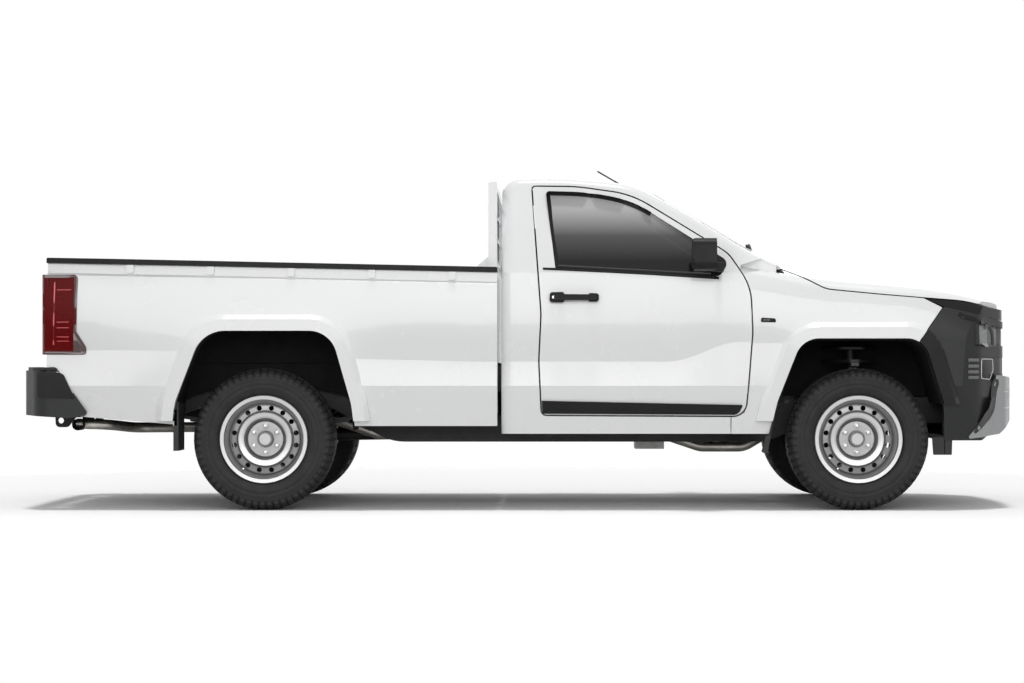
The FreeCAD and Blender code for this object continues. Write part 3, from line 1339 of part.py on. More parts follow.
def wheel_shapes(centre, side):
    """Tyre and steel wheel about centre. side is -1 where the outer face looks to -Y."""
    out = Vector(0, side, 0)
    half = TYRE_WIDTH / 2
    bead = RIM_SEAT_RADIUS
    tread = TYRE_RADIUS
    edge = RIM_WIDTH / 2
    flange = RIM_FLANGE_RADIUS
    shoulder = [
        (bead + 1, edge - 8.5),
        (flange + 1, edge - 8.5),
        (flange + 4, edge + 2),
        (bead + 46, half - 3),
        (bead + 76, half),
        (tread - 46, half - 3),
        (tread - 16, half - 14),
        (tread - 4, half - 34),
        (tread, half - 70),
    ]
    tyre = lathe([(r, -h) for r, h in shoulder] + shoulder[::-1], centre, out)
    barrel = [
        (bead, edge - 10),
        (bead, edge - 6),
        (flange - 4, edge - 6),
        (flange, edge),
        (flange - 4, edge + 6),
        (bead - 6, edge + 4),
        (bead - 8, edge - 30),
        (bead - 34, edge - 60),
        (bead - 34, 40 - edge),
        (bead - 8, 14 - edge),
        (bead - 8, -edge - 4),
        (flange - 4, -edge - 6),
        (flange, -edge),
        (flange - 4, 6 - edge),
        (bead, 6 - edge),
        (bead, 10 - edge),
        (bead - 26, 36 - edge),
        (bead - 26, edge - 56),
        (bead, edge - 26),
    ]
    disc = [(0, 8), (92, 8), (98, 14), (112, 34), (140, 40), (152, 26), (186, 20)]
    disc += [(186, 14), (150, 19), (138, 33), (114, 27), (102, 8), (94, 1), (0, 1)]
    disc = lathe(disc, centre, out)
    holes = []
    for i in range(DISC_HOLES):
        angle = 2 * math.pi * (i + 0.5) / DISC_HOLES
        at = centre + Vector(DISC_HOLE_CIRCLE * math.cos(angle), -60, DISC_HOLE_CIRCLE * math.sin(angle))
        holes.append(Part.makeCylinder(DISC_HOLE_RADIUS, 120, at, Vector(0, 1, 0)))
    cap = lathe([(0, 7), (HUB_CAP_RADIUS, 7), (HUB_CAP_RADIUS - 4, 32), (HUB_CAP_RADIUS - 12, 40), (0, 40)], centre, out)
    nuts = []
    for i in range(WHEEL_STUDS):
        angle = 2 * math.pi * (i + 0.5) / WHEEL_STUDS
        at = centre + out * 7 + Vector(STUD_CIRCLE_RADIUS * math.cos(angle), 0, STUD_CIRCLE_RADIUS * math.sin(angle))
        nuts.append(Part.makeCylinder(11, 18, at, out))
    rim = lathe(barrel, centre, out).fuse([disc.cut(holes), cap] + nuts)
    return tyre, rim


def build_wheels():
    """Four wheels, with the front ones on knuckles that turn about their kingpins."""
    places = {
        "front_right": (FRONT_AXLE_X, -1),
        "front_left": (FRONT_AXLE_X, 1),
        "rear_right": (REAR_AXLE_X, -1),
        "rear_left": (REAR_AXLE_X, 1),
    }
    for name, (x, side) in places.items():
        tyre, rim = wheel_shapes(Vector(x, side * WHEEL_Y, AXLE_Z), side)
        save("tyre_" + name, tyre)
        save("rim_" + name, rim)
    knuckle = build_knuckle()
    save("knuckle_right", knuckle)
    save("knuckle_left", mirrored(knuckle))


def build_knuckle():
    """A steering knuckle: kingpin, hub, brake disc, and a neck over the tyre to the upper arm."""
    x = FRONT_AXLE_X
    pin = rod(Vector(x, -KINGPIN_Y, LOWER_ARM_Z + SEAT_GAP), Vector(x, -KINGPIN_Y, 540), 24)
    hub = rod(Vector(x, -KINGPIN_Y, AXLE_Z), Vector(x, -WHEEL_Y - 1 + SEAT_GAP, AXLE_Z), 60)
    brake = rod(Vector(x, -WHEEL_Y + 52, AXLE_Z), Vector(x, -WHEEL_Y + 26, AXLE_Z), 150)
    neck = cross_prism(
        [
            (-KINGPIN_Y - 22, 480, 6),
            (-KINGPIN_Y - 22, 530, 6),
            (-640, 530, 12),
            (-640, UPPER_ARM_Z - 20, 8),
            (-KINGPIN_Y - 20, UPPER_ARM_Z - 20, 4),
            (-KINGPIN_Y - 20, UPPER_ARM_Z - SEAT_GAP, 4),
            (-624, UPPER_ARM_Z - SEAT_GAP, 16),
            (-624, 480, 16),
        ],
        x - 20,
        x + 20,
    )
    arm = plan_prism([(x - 150, -668, 14), (x - 150, -700, 14), (x, -KINGPIN_Y - 20, 0), (x, -KINGPIN_Y + 20, 0)], 358, 378)
    return pin.fuse([hub, brake, neck, arm])


# Interior


def build_interior():
    """Seats, dashboard with console and column, and the steering wheel."""
    seats = []
    for y in (-400, 400):
        x = CAB_REAR_X + 210
        z = FLOOR_Z
        base = side_prism([(x + 50, z + SEAT_GAP, 0), (x + 40, z + 130, 0), (x + 560, z + 130, 0), (x + 545, z + SEAT_GAP, 0)], y - 215, y + 215)
        cushion = side_prism([(x + 20, z + 120, 20), (x + 10, z + 250, 50), (x + 560, z + 270, 60), (x + 580, z + 120, 30)], y - 240, y + 240)
        back = side_prism([(x + 60, z + 200, 20), (x - 110, z + 820, 40), (x - 10, z + 840, 50), (x + 190, z + 240, 40)], y - 230, y + 230)
        head = side_prism([(x - 108, z + 790, 20), (x - 120, z + 1000, 40), (x - 30, z + 1010, 40), (x - 20, z + 790, 20)], y - 120, y + 120)
        seats.append(base.fuse([cushion, back, head]))
    save("seats", *seats)
    x = FIREWALL_X - SEAT_GAP
    dash = side_prism(
        [(x, 900, 0), (x, 1255, 20), (x - 150, 1256, 60), (x - 320, 1215, 60), (x - 340, 1080, 40), (x - 200, 900, 60)], -780, 780
    )
    tunnel_seat = TUNNEL_TOP_Z + PANEL_THICKNESS + SEAT_GAP
    console = side_prism([(x, tunnel_seat, 0), (x, 920, 0), (x - 236, 920, 30), (x - 440, 770, 60), (x - 470, tunnel_seat, 10)], -110, 110)
    centre = Vector(x - 474, STEERING_Y, 1176)
    axis = Vector(-0.917, 0, 0.399).normalize()
    column = rod(centre - axis * 250, centre - axis * (14 + SEAT_GAP), 36)
    save("dashboard", dash.fuse([console, column]))
    ring = Part.makeTorus(185, 15, centre, axis)
    boss = Part.makeCylinder(62, 44, centre - axis * 14, axis)
    down = axis.cross(Vector(0, 1, 0))
    down = down if down.z < 0 else down * -1
    spokes = [rod(centre, centre + way * 180, 13) for way in (Vector(0, 1, 0), Vector(0, -1, 0), down)]
    save("steering_wheel", ring.fuse([boss] + spokes))


# Small parts


def arch_band(outline, thickness, y0, y1, z0, z1):
    """A sheet that lines a wheel opening between two heights."""
    seat = side_prism(grown(outline, -SEAT_GAP), y0, y1)
    inside = side_prism(grown(outline, -SEAT_GAP - thickness), y0 - 50, y1 + 50)
    band = cut_all(seat, inside, inside.translated(Vector(0, 0, -60)))
    return band.common(box(-4000, 4000, y0, y1, z0, z1))


def build_small_parts():
    """Wheel liners, mud flaps, cowl and the aerial."""
    x, r = FRONT_AXLE_X, REAR_AXLE_X
    liner = arch_band(FRONT_ARCH, 8, -905, -470, 560 + SEAT_GAP, 1000)
    save("wheel_liners", *both_sides(largest(liner)))
    front_flap = arch_band(FRONT_ARCH, 8, -893, -690, 302, 560).common(box(x - 600, x, -1000, 0, 0, 1000))
    front_lip = side_prism([(x - 508, 302, 6), (x - 490, 392, 4), (x - 462, 392, 0), (x - 480, 302, 0)], -893, -887)
    rear_flap = box(r - 454, r - 446, -900, -690, 313, 560)
    rear_lip = box(r - 473, r - 446, -900, -894, 313, 440)
    rear_seat = box(r - 500, r - 446, -893, -800, 530, 570).common(side_prism(grown(REAR_ARCH, -SEAT_GAP), -1000, 0))
    save("mud_flaps", *both_sides(front_flap.fuse(front_lip), rear_flap.fuse([rear_lip, rear_seat])))
    base_x = CAB_FRONT_X
    cowl = plan_prism(
        [
            (base_x + SEAT_GAP, -780, 30),
            (base_x + SEAT_GAP, 780, 30),
            (base_x + 22, 784, 0),
            (base_x + 32, 0, 2600),
            (base_x + 22, -784, 0),
        ],
        COWL_SHELF_Z + SEAT_GAP,
        COWL_SHELF_Z + 10,
    )
    slot = box(base_x - 60, base_x + 100, -HOOD_HINGE_Y - 14, -HOOD_HINGE_Y + 14, 1200, 1400)
    save("cowl_wipers", cowl.cut(both_sides(slot)))
    root = Vector(x - 1181, 0, 1752)
    mast = rod(root, root + Vector(-178, 0, 103), 4)
    foot = rod(root + Vector(22, 0, -4), root + Vector(-26, 0, 20), 11)
    save("aerial", mast.fuse(foot).cut(cab_loft(-SEAT_GAP)))


def main():
    os.makedirs("parts", exist_ok=True)
    build_cab()
    build_nose()
    build_bed()
    build_guard()
    build_rear_bumper()
    build_frame()
    build_suspension()
    build_rear_axle()
    build_driveline()
    build_wheels()
    build_interior()
    build_small_parts()


main()
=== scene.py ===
"""The looks of the single-cab pickup truck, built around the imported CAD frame.

Everything is in metres in the frame's own axes: +X forward, +Y to the left, +Z up, with the
ground at Z = 0. Places are written from the same axles, cab back and bed end as the CAD source.
"""
import math

import bpy
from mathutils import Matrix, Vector
from mathutils.bvhtree import BVHTree


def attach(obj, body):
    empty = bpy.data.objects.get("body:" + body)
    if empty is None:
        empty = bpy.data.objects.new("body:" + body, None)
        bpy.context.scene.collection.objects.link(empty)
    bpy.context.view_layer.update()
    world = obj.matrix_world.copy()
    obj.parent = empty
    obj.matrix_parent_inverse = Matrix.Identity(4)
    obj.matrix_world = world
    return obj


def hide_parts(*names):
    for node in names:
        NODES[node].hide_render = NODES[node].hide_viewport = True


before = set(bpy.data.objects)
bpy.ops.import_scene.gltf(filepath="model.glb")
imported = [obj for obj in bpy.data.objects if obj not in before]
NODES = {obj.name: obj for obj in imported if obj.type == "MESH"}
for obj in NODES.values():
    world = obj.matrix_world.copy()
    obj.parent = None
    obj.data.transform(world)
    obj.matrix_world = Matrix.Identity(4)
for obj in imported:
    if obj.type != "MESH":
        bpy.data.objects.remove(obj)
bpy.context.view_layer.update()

FRONT_AXLE_X = 1.77
REAR_AXLE_X = -1.36
CAB_REAR_X = -0.11
BED_REAR_X = -2.505
NOSE_X = 2.66
TAIL_X = -2.66
WHEEL_Y = 0.785
AXLE_Z = 0.373
FLOOR_Z = 0.52
BED_FLOOR_Z = 0.805
STEERING_Y = -0.4
STEERING_CENTRE = Vector((0.7397, STEERING_Y, 1.176))
STEERING_AXIS = Vector((-0.917, 0.0, 0.399)).normalized()
SIDES = (("right", 1), ("left", -1))
SKIN_SHARP = math.radians(32)


# Material building


def add(tree, kind, links=(), values=(), operation=None):
    """A new shader node with its operation, its input values and its incoming links."""
    node = tree.nodes.new("ShaderNode" + kind)
    if operation:
        node.operation = operation
    for socket, value in values:
        node.inputs[socket].default_value = value
    for socket, source in links:
        tree.links.new(source, node.inputs[socket])
    return node


def grey(value):
    """A neutral colour."""
    return (value, value, value)


def ramp(tree, source, stops):
    """A colour ramp fed by source; stops are (place, colour)."""
    node = add(tree, "ValToRGB", [("Fac", source)])
    while len(node.color_ramp.elements) < len(stops):
        node.color_ramp.elements.new(0.5)
    for element, (place, colour) in zip(node.color_ramp.elements, stops):
        element.position = place
        element.color = (*colour, 1.0)
    return node.outputs["Color"]


def noise(tree, coords, scale, detail=4.0):
    """A noise texture in object space."""
    return add(tree, "TexNoise", [("Vector", coords)], [("Scale", scale), ("Detail", detail)]).outputs["Fac"]


def between(tree, source, low, high, out_low=0.0, out_high=1.0):
    """A value mapped from one range to another, clamped."""
    values = [("From Min", low), ("From Max", high), ("To Min", out_low), ("To Max", out_high)]
    return add(tree, "MapRange", [("Value", source)], values).outputs["Result"]


def cloud(tree, coords, scale, detail=4.0, low=0.0, high=1.0):
    """Soft noise, spread out to run from low to high."""
    return between(tree, noise(tree, coords, scale, detail), 0.3, 0.7, low, high)


def mixed(tree, share, first, second):
    """Two colours mixed by share; each is a colour or a socket."""
    node = tree.nodes.new("ShaderNodeMix")
    node.data_type = "RGBA"
    tree.links.new(share, node.inputs[0])
    for socket, value in ((node.inputs[6], first), (node.inputs[7], second)):
        if isinstance(value, tuple):
            socket.default_value = (*value, 1.0)
        else:
            tree.links.new(value, socket)
    return node.outputs[2]


def math_of(tree, operation, first, second):
    """Two values joined by an operation."""
    return add(tree, "Math", [(0, first), (1, second)], operation=operation).outputs[0]


def distance_of(tree, vector):
    """The length of a vector."""
    return add(tree, "VectorMath", [(0, vector)], operation="LENGTH").outputs["Value"]


def height_of(tree, coords):
    """The Z of the shaded point."""
    return add(tree, "SeparateXYZ", [(0, coords)]).outputs["Z"]


def coords_of(tree, kind="Object"):
    """The shaded point's own coordinates."""
    return add(tree, "TexCoord").outputs[kind]


def bumped(tree, shader, source, depth):
    """Bump on shader from source."""
    bump = add(tree, "Bump", [("Height", source)], [("Strength", 1.0), ("Distance", depth)])
    tree.links.new(bump.outputs["Normal"], shader.inputs["Normal"])


def started(name):
    """A new material with its node tree, its shader and its object coordinates."""
    mat = bpy.data.materials.new(name)
    mat.use_nodes = True
    tree = mat.node_tree
    return mat, tree, tree.nodes["Principled BSDF"], coords_of(tree)


def fill(tree, shader, links=(), values=()):
    """Feeds the shader's sockets with sources and plain values."""
    for socket, source in links:
        tree.links.new(source, shader.inputs[socket])
    for socket, value in values:
        shader.inputs[socket].default_value = value


def material(name, colour, roughness, vary=0.08, scale=6.0, metallic=0.0, coat=0.0,
             grain=None, spread=0.08, dust=None, gloss=0.5):
    """Varied colour and roughness, with grain (depth, scale) and dust (height, share, colour) low down."""
    mat, tree, shader, coords = started(name)
    darker = tuple(c * (1.0 - vary) for c in colour)
    lighter = tuple(min(c * (1.0 + vary), 1.0) for c in colour)
    base = mixed(tree, between(tree, noise(tree, coords, scale, 5.0), 0.35, 0.65), darker, lighter)
    if dust:
        height, share, shade = dust
        low = between(tree, height_of(tree, coords), 0.05, height, share, 0.0)
        base = mixed(tree, math_of(tree, "MULTIPLY", low, cloud(tree, coords, 24.0, 8.0)), base, shade)
    rough = cloud(tree, coords, scale * 3.1, 4.0, roughness - spread / 2, roughness + spread / 2)
    values = [("Metallic", metallic), ("Coat Weight", coat), ("Coat Roughness", 0.06),
              ("Specular IOR Level", gloss)]
    fill(tree, shader, [("Base Color", base), ("Roughness", rough)], values)
    if grain:
        bumped(tree, shader, noise(tree, coords, grain[1], 2.0), grain[0])
    return mat


def glass_material(name, low, high, z_low, z_high, alpha):
    """Dark safety glass whose colour runs from low at z_low to high at z_high: a painted reflection of the
    bright surround, lighter towards the top.
    """
    mat, tree, shader, coords = started(name)
    share = between(tree, height_of(tree, coords), z_low, z_high)
    middle = tuple(a + 0.16 * (b - a) for a, b in zip(low, high))
    # painted reflection: the glass's dark tint turns lighter towards the top
    tint = ramp(tree, share, [(0.0, low), (0.14, low), (0.45, middle), (0.8, high)])
    smear = cloud(tree, coords, 9.0, 3.0, 0.02, 0.06)
    fill(tree, shader, [("Base Color", tint), ("Roughness", smear)],
         [("Alpha", alpha), ("Specular IOR Level", 0.3)])
    return mat


def lens_material(name, colour, alpha, roughness=0.04):
    """Clear or red lamp plastic, see-through, with moulding lines."""
    mat, tree, shader, coords = started(name)
    tint = mixed(tree, cloud(tree, coords, 14.0), tuple(c * 0.9 for c in colour), colour)
    rough = cloud(tree, coords, 40.0, 4.0, roughness, roughness + 0.04)
    fill(tree, shader, [("Base Color", tint), ("Roughness", rough)],
         [("Alpha", alpha), ("Specular IOR Level", 0.1)])
    return mat


def woven_material(name, colour, thread=0.0016):
    """Seat cloth: crossed threads with a soft sheen."""
    mat = material(name, colour, 0.9, vary=0.15, scale=30.0)
    tree = mat.node_tree
    shader = tree.nodes["Principled BSDF"]
    fill(tree, shader, values=[("Sheen Weight", 0.35), ("Sheen Roughness", 0.5)])
    coords = coords_of(tree)
    heights = []
    for direction in ("X", "Y"):
        values = [("Scale", 1.0 / (thread * 20)), ("Distortion", 0.6)]
        wave = add(tree, "TexWave", [("Vector", coords)], values)
        wave.bands_direction = direction
        heights.append(wave.outputs["Fac"])
    bumped(tree, shader, math_of(tree, "MAXIMUM", *heights), 0.0006)
    return mat


RIM_RADIUS = 0.233
# Grey by radius in metres: the dark rings are painted shade and the lightest rings are painted highlight
WHEEL_SHADE_AND_HIGHLIGHT = (
    (0.0, 0.48), (0.037, 0.46), (0.042, 0.12), (0.048, 0.36), (0.09, 0.4), (0.098, 0.14), (0.106, 0.34),
    (0.128, 0.6), (0.148, 0.42), (0.153, 0.22), (0.18, 0.34), (0.187, 0.07), (0.194, 0.24), (0.209, 0.36),
    (0.214, 0.55),
)


def wheel_material():
    """Painted steel whose colour is set by radius: dark rings of painted shade in the hollows round the cap,
    the hub plate and the disc, and lighter rings of painted highlight on the raised rings.
    """
    mat = material("wheel_paint", (0.5, 0.505, 0.51), 0.34, vary=0.04, metallic=0.7, grain=(0.00006, 900))
    tree = mat.node_tree
    centred = add(tree, "VectorMath", [(0, coords_of(tree, "Generated"))],
                  [(1, (2.0, 0.0, 2.0)), (2, (-1.0, 0.0, -1.0))], "MULTIPLY_ADD")
    shade_and_highlight_stops = [(r / RIM_RADIUS, (t, t, t * 1.01)) for r, t in WHEEL_SHADE_AND_HIGHLIGHT]
    # painted shade and painted highlight by radius take the place of the paint's own colour
    painted_shade_and_highlight = ramp(tree, distance_of(tree, centred.outputs[0]), shade_and_highlight_stops)
    fill(tree, tree.nodes["Principled BSDF"], [("Base Color", painted_shade_and_highlight)])
    return mat


def spare_material():
    """Rubber outside the rim's radius and painted steel inside it, about the spare's upright axis."""
    mat = RUBBER.copy()
    mat.name = "spare_rubber_and_steel"
    tree = mat.node_tree
    shader = tree.nodes["Principled BSDF"]
    offset = add(tree, "VectorMath", [(0, coords_of(tree))], [(1, (REAR_AXLE_X - 0.67, 0.0, 0.0))],
                 "SUBTRACT")
    flat = add(tree, "VectorMath", [(0, offset.outputs[0])], [(1, (1.0, 1.0, 0.0))], "MULTIPLY")
    inside = between(tree, distance_of(tree, flat.outputs[0]), 0.213, 0.2145, 1.0, 0.0)
    rubber = shader.inputs["Base Color"].links[0].from_socket
    fill(tree, shader, [("Base Color", mixed(tree, inside, rubber, (0.42, 0.425, 0.43)))])
    return mat


# Materials

GREY_DUST = (0.3, 0.29, 0.27)
BROWN_DUST = (0.1, 0.095, 0.09)
DARK_DUST = (0.06, 0.055, 0.05)
PAINT = material("white_paint", (0.86, 0.865, 0.87), 0.26, 0.012, 1.4, coat=0.7, grain=(0.00004, 260),
                 spread=0.05, dust=(0.62, 0.1, GREY_DUST))
GLASS = glass_material("screen_glass", (0.03, 0.035, 0.036), (0.05, 0.06, 0.06), 1.25, 1.75, 0.42)
# Door glass: near black low down and grey at the top, a painted reflection over the dark glass
DOOR_GLASS = glass_material("door_glass", grey(0.012), grey(0.56), 1.25, 1.69, 0.88)
TRIM = material("black_trim", (0.007, 0.007, 0.008), 0.45, 0.12, grain=(0.0001, 1500), gloss=0.2)
GLOSS_BLACK = material("gloss_black", grey(0.006), 0.2, 0.1, spread=0.04, gloss=0.25)
BUMPER = material("grained_bumper", (0.018, 0.0185, 0.02), 0.38, 0.06, 5.0, grain=(0.00022, 620),
                  dust=(0.5, 0.03, GREY_DUST), gloss=0.3)
# Only for the strip of painted shade on the lower bar's rear part
BAR_SHADE = material("bar_painted_shade", (0.024, 0.0245, 0.026), 0.5, 0.06, grain=(0.0002, 620))
SILVER = material("silver_plastic", (0.33, 0.335, 0.34), 0.36, 0.03, metallic=0.35, grain=(0.00004, 700))
SILVER_DARK = material("dark_silver", (0.14, 0.142, 0.145), 0.35, 0.05, metallic=0.3)
WHITE_TRIM = material("pale_edge", (0.72, 0.725, 0.73), 0.3, 0.03)
FRAME_BLACK = material("chassis_black", grey(0.013), 0.5, 0.3, 9.0, grain=(0.0003, 180),
                       dust=(0.9, 0.15, DARK_DUST), gloss=0.35)
UNDERSEAL = material("underseal", grey(0.006), 0.8, 0.3, grain=(0.0006, 160), gloss=0.2)
RUBBER = material("tyre_rubber", (0.015, 0.015, 0.016), 0.6, 0.25, 14.0, grain=(0.0002, 900),
                  dust=(0.5, 0.05, BROWN_DUST), gloss=0.3)
FLAP = material("flap_rubber", grey(0.01), 0.62, 0.2, grain=(0.0003, 400))
CAST = material("cast_iron", (0.09, 0.085, 0.08), 0.62, 0.3, 22.0, 0.5, grain=(0.0006, 260))
ALLOY = material("cast_alloy", (0.36, 0.36, 0.355), 0.5, 0.12, 16.0, 0.8, grain=(0.0004, 320))
EXHAUST = material("exhaust_steel", (0.42, 0.4, 0.37), 0.36, 0.22, 18.0, 0.9, grain=(0.0001, 300))
TANK = material("tank_plastic", grey(0.008), 0.7, 0.15, grain=(0.0003, 300))
CLOTH = woven_material("seat_cloth", (0.045, 0.046, 0.05))
CABIN = material("cabin_plastic", (0.035, 0.036, 0.038), 0.58, grain=(0.00025, 800))
CABIN_LIGHT = material("cabin_lining", (0.23, 0.225, 0.215), 0.85, 0.06, grain=(0.0002, 1200))
LENS = lens_material("clear_lens", (0.5, 0.51, 0.52), 0.25)
RED_LENS = lens_material("red_lens", (0.15, 0.0002, 0.001), 0.7, 0.2)
RED_INNER = material("red_reflector", (0.3, 0.001, 0.004), 0.5, 0.3, 60.0, gloss=0.1)
RED_BRIGHT = material("red_light_guide", (0.8, 0.1, 0.1), 0.3, 0.05, coat=0.5)
RED_DARK = material("red_bezel", (0.045, 0.004, 0.006), 0.15, 0.1, coat=0.8)
AMBER = lens_material("amber_lens", (0.75, 0.28, 0.04), 0.8)
PLATE_LAMP = lens_material("plate_lamp", (0.9, 0.9, 0.88), 0.9)
MIRROR_GLASS = material("mirror_glass", (0.8, 0.82, 0.84), 0.03, 0.01, metallic=1.0, spread=0.01)
CHROME = material("bright_steel", (0.6, 0.6, 0.61), 0.2, 0.05, metallic=1.0, spread=0.06)

SLOT_MATERIALS = {
    "body_paint": PAINT, "glass": GLASS, "dark_trim": TRIM, "bumper_plastic": BUMPER, "trim_silver": SILVER,
    "frame_black": FRAME_BLACK, "wheel_steel": wheel_material(), "tyre": RUBBER, "lamp_clear": LENS,
    "lamp_red": RED_LENS, "cast_iron": CAST, "alloy": ALLOY, "exhaust_steel": EXHAUST, "tank_plastic": TANK,
    "flap_rubber": FLAP, "seat_cloth": CLOTH, "cabin_plastic": CABIN,
}
OWN_MATERIALS = {
    "spare_wheel": spare_material(), "wheel_liners": UNDERSEAL,
    "door_glass_right": DOOR_GLASS, "door_glass_left": DOOR_GLASS,
}
for node in NODES.values():
    for material_slot in node.material_slots:
        slot_name = material_slot.material.name.split(".")[0]
        if slot_name in SLOT_MATERIALS:
            material_slot.material = SLOT_MATERIALS[slot_name]
for node_name, own in OWN_MATERIALS.items():
    NODES[node_name].material_slots[0].material = own


# Outlines and curves


def turns(count, start=0.0):
    """Angles evenly round a circle."""
    return [start + 2 * math.pi * i / count for i in range(count)]


def moved(start, *points):
    """Points whose first number is counted from start."""
    return [(start + first, *rest) for first, *rest in points]


def rect(a0, a1, b0, b1):
    """The four corners of a rectangle."""
    return [(a0, b0), (a0, b1), (a1, b1), (a1, b0)]


def rounded(points, radius, steps=4):
    """A closed outline of (a, b) or (a, b, radius) points with round corners."""
    result = []
    count = len(points)
    for i, (a, b, *own) in enumerate(points):
        corner = Vector((a, b))
        back = Vector(points[i - 1][:2]) - corner
        ahead = Vector(points[(i + 1) % count][:2]) - corner
        reach = min(own[0] if own else radius, 0.48 * back.length, 0.48 * ahead.length)
        if reach < 1e-5:
            result.append(tuple(corner))
            continue
        start = corner + back.normalized() * reach
        end = corner + ahead.normalized() * reach
        for j in range(steps + 1):
            t = j / steps
            result.append(tuple(start * (1 - t) ** 2 + corner * 2 * t * (1 - t) + end * t * t))
    return result


def shrunk(outline, amount):
    """The outline moved inwards by amount, point by point."""
    if not amount:
        return outline
    count = len(outline)
    area = sum(outline[i - 1][0] * outline[i][1] - outline[i][0] * outline[i - 1][1] for i in range(count))
    turn = 1.0 if area > 0 else -1.0
    result = []
    for i in range(count):
        here = Vector(outline[i])
        first = (here - Vector(outline[i - 1])).normalized()
        second = (Vector(outline[(i + 1) % count]) - here).normalized()
        normal = Vector((-(first.y + second.y), first.x + second.x)) * turn
        if normal.length < 1e-6:
            result.append(tuple(here))
            continue
        normal.normalize()
        inward = Vector((-first.y, first.x)) * turn
        result.append(tuple(here + normal * (amount / max(normal.dot(inward), 0.35))))
    return result


def curve_through(points, steps=6):
    """Points along a Catmull-Rom curve through the given ones."""
    points = [Vector(p) for p in points]
    last = len(points) - 1
    result = []
    for i in range(last):
        a, b, c, d = (points[min(max(k, 0), last)] for k in (i - 1, i, i + 1, i + 2))
        for j in range(steps):
            t = j / steps
            cubic = (3 * b - a - 3 * c + d) * t ** 3
            result.append(0.5 * ((2 * b) + (c - a) * t + (2 * a - 5 * b + 4 * c - d) * t * t + cubic))
    return result + [points[-1]]


def side_place(a, b, depth):
    """Maps an (x, z) outline to the side, with depth along Y."""
    return (a, depth, b)


def front_place(a, b, depth):
    """Maps a (y, z) outline to the front, with depth along X."""
    return (depth, a, b)


def top_place(a, b, depth):
    """Maps an (x, y) outline to the top, with depth along Z."""
    return (a, b, depth)


# Surfaces that trim is laid on


def skin_of(*names):
    """A search tree of the faces of CAD nodes."""
    verts = []
    faces = []
    for name in names:
        start = len(verts)
        mesh = NODES[name].data
        verts.extend(v.co.copy() for v in mesh.vertices)
        faces.extend(tuple(i + start for i in polygon.vertices) for polygon in mesh.polygons)
    return BVHTree.FromPolygons(verts, faces)


def hit_or_near(tree, start, way, near):
    """Where a ray from start meets the surface, or else the surface's point nearest to near."""
    hit = tree.ray_cast(Vector(start), Vector(way))[0]
    return tree.find_nearest(Vector(near))[0] if hit is None else hit


def on_side(tree, x, z, lift):
    """The point of the right side at (x, z), raised outwards by lift."""
    hit = tree.ray_cast(Vector((x, -1.3, z)), Vector((0, 1, 0)))[0]
    if hit is None or hit.y > -0.4:
        hit = tree.find_nearest(Vector((x, -0.9, z)))[0]
    return Vector((x, hit.y - lift, z))


def on_front(tree, y, z, lift):
    """The point of the front face at (y, z), raised forwards by lift."""
    return Vector((hit_or_near(tree, (3.2, y, z), (-1, 0, 0), (NOSE_X, y, z)).x + lift, y, z))


def on_rear(tree, y, z, lift):
    """The point of the rear face at (y, z), raised backwards by lift."""
    return Vector((hit_or_near(tree, (-3.2, y, z), (1, 0, 0), (TAIL_X, y, z)).x - lift, y, z))


def on_door_inside(tree, x, z, lift):
    """The point of the right door's inner face at (x, z), raised inwards past its lining by lift."""
    return Vector((x, hit_or_near(tree, (x, 0.0, z), (0, -1, 0), (x, -0.8, z)).y + lift + 0.004, z))


def on_bumper_end(tree, x, z, lift):
    """A point of the rear bumper's upright end face, which has one plan at every height."""
    return Vector((x, on_side(tree, min(x, -2.352), 0.588, lift).y, z))


COWL_TOP_Z = 1.272
SCREEN_FOOT_X = 1.31
SCREEN_SLOPE = 0.7
AHEAD_OF_GLASS_X = 1.45


def on_top(tree, x, y, lift):
    """The point of the top surface at (x, y), raised by lift."""
    near = (x, y, COWL_TOP_Z + SCREEN_SLOPE * (SCREEN_FOOT_X - x))
    return Vector((x, y, hit_or_near(tree, (x, y, 2.6), (0, 0, -1), near).z + lift))


def on_glass(tree, x, y, lift):
    """The point of the windscreen at y, no further ahead than x, raised by lift."""
    for _ in range(100):
        if tree.ray_cast(Vector((x, y, 2.6)), Vector((0, 0, -1)))[0]:
            break
        x -= 0.004
    return on_top(tree, x, y, lift)


def on_back(tree, y, z, lift):
    """The point of the cab's flat back at (y, z), raised backwards by lift; it needs no tree."""
    return Vector((CAB_REAR_X + 0.0078 - lift, y, z))


# Mesh building


def linked(name, data):
    """A new object in the scene."""
    thing = bpy.data.objects.new(name, data)
    bpy.context.scene.collection.objects.link(thing)
    return thing


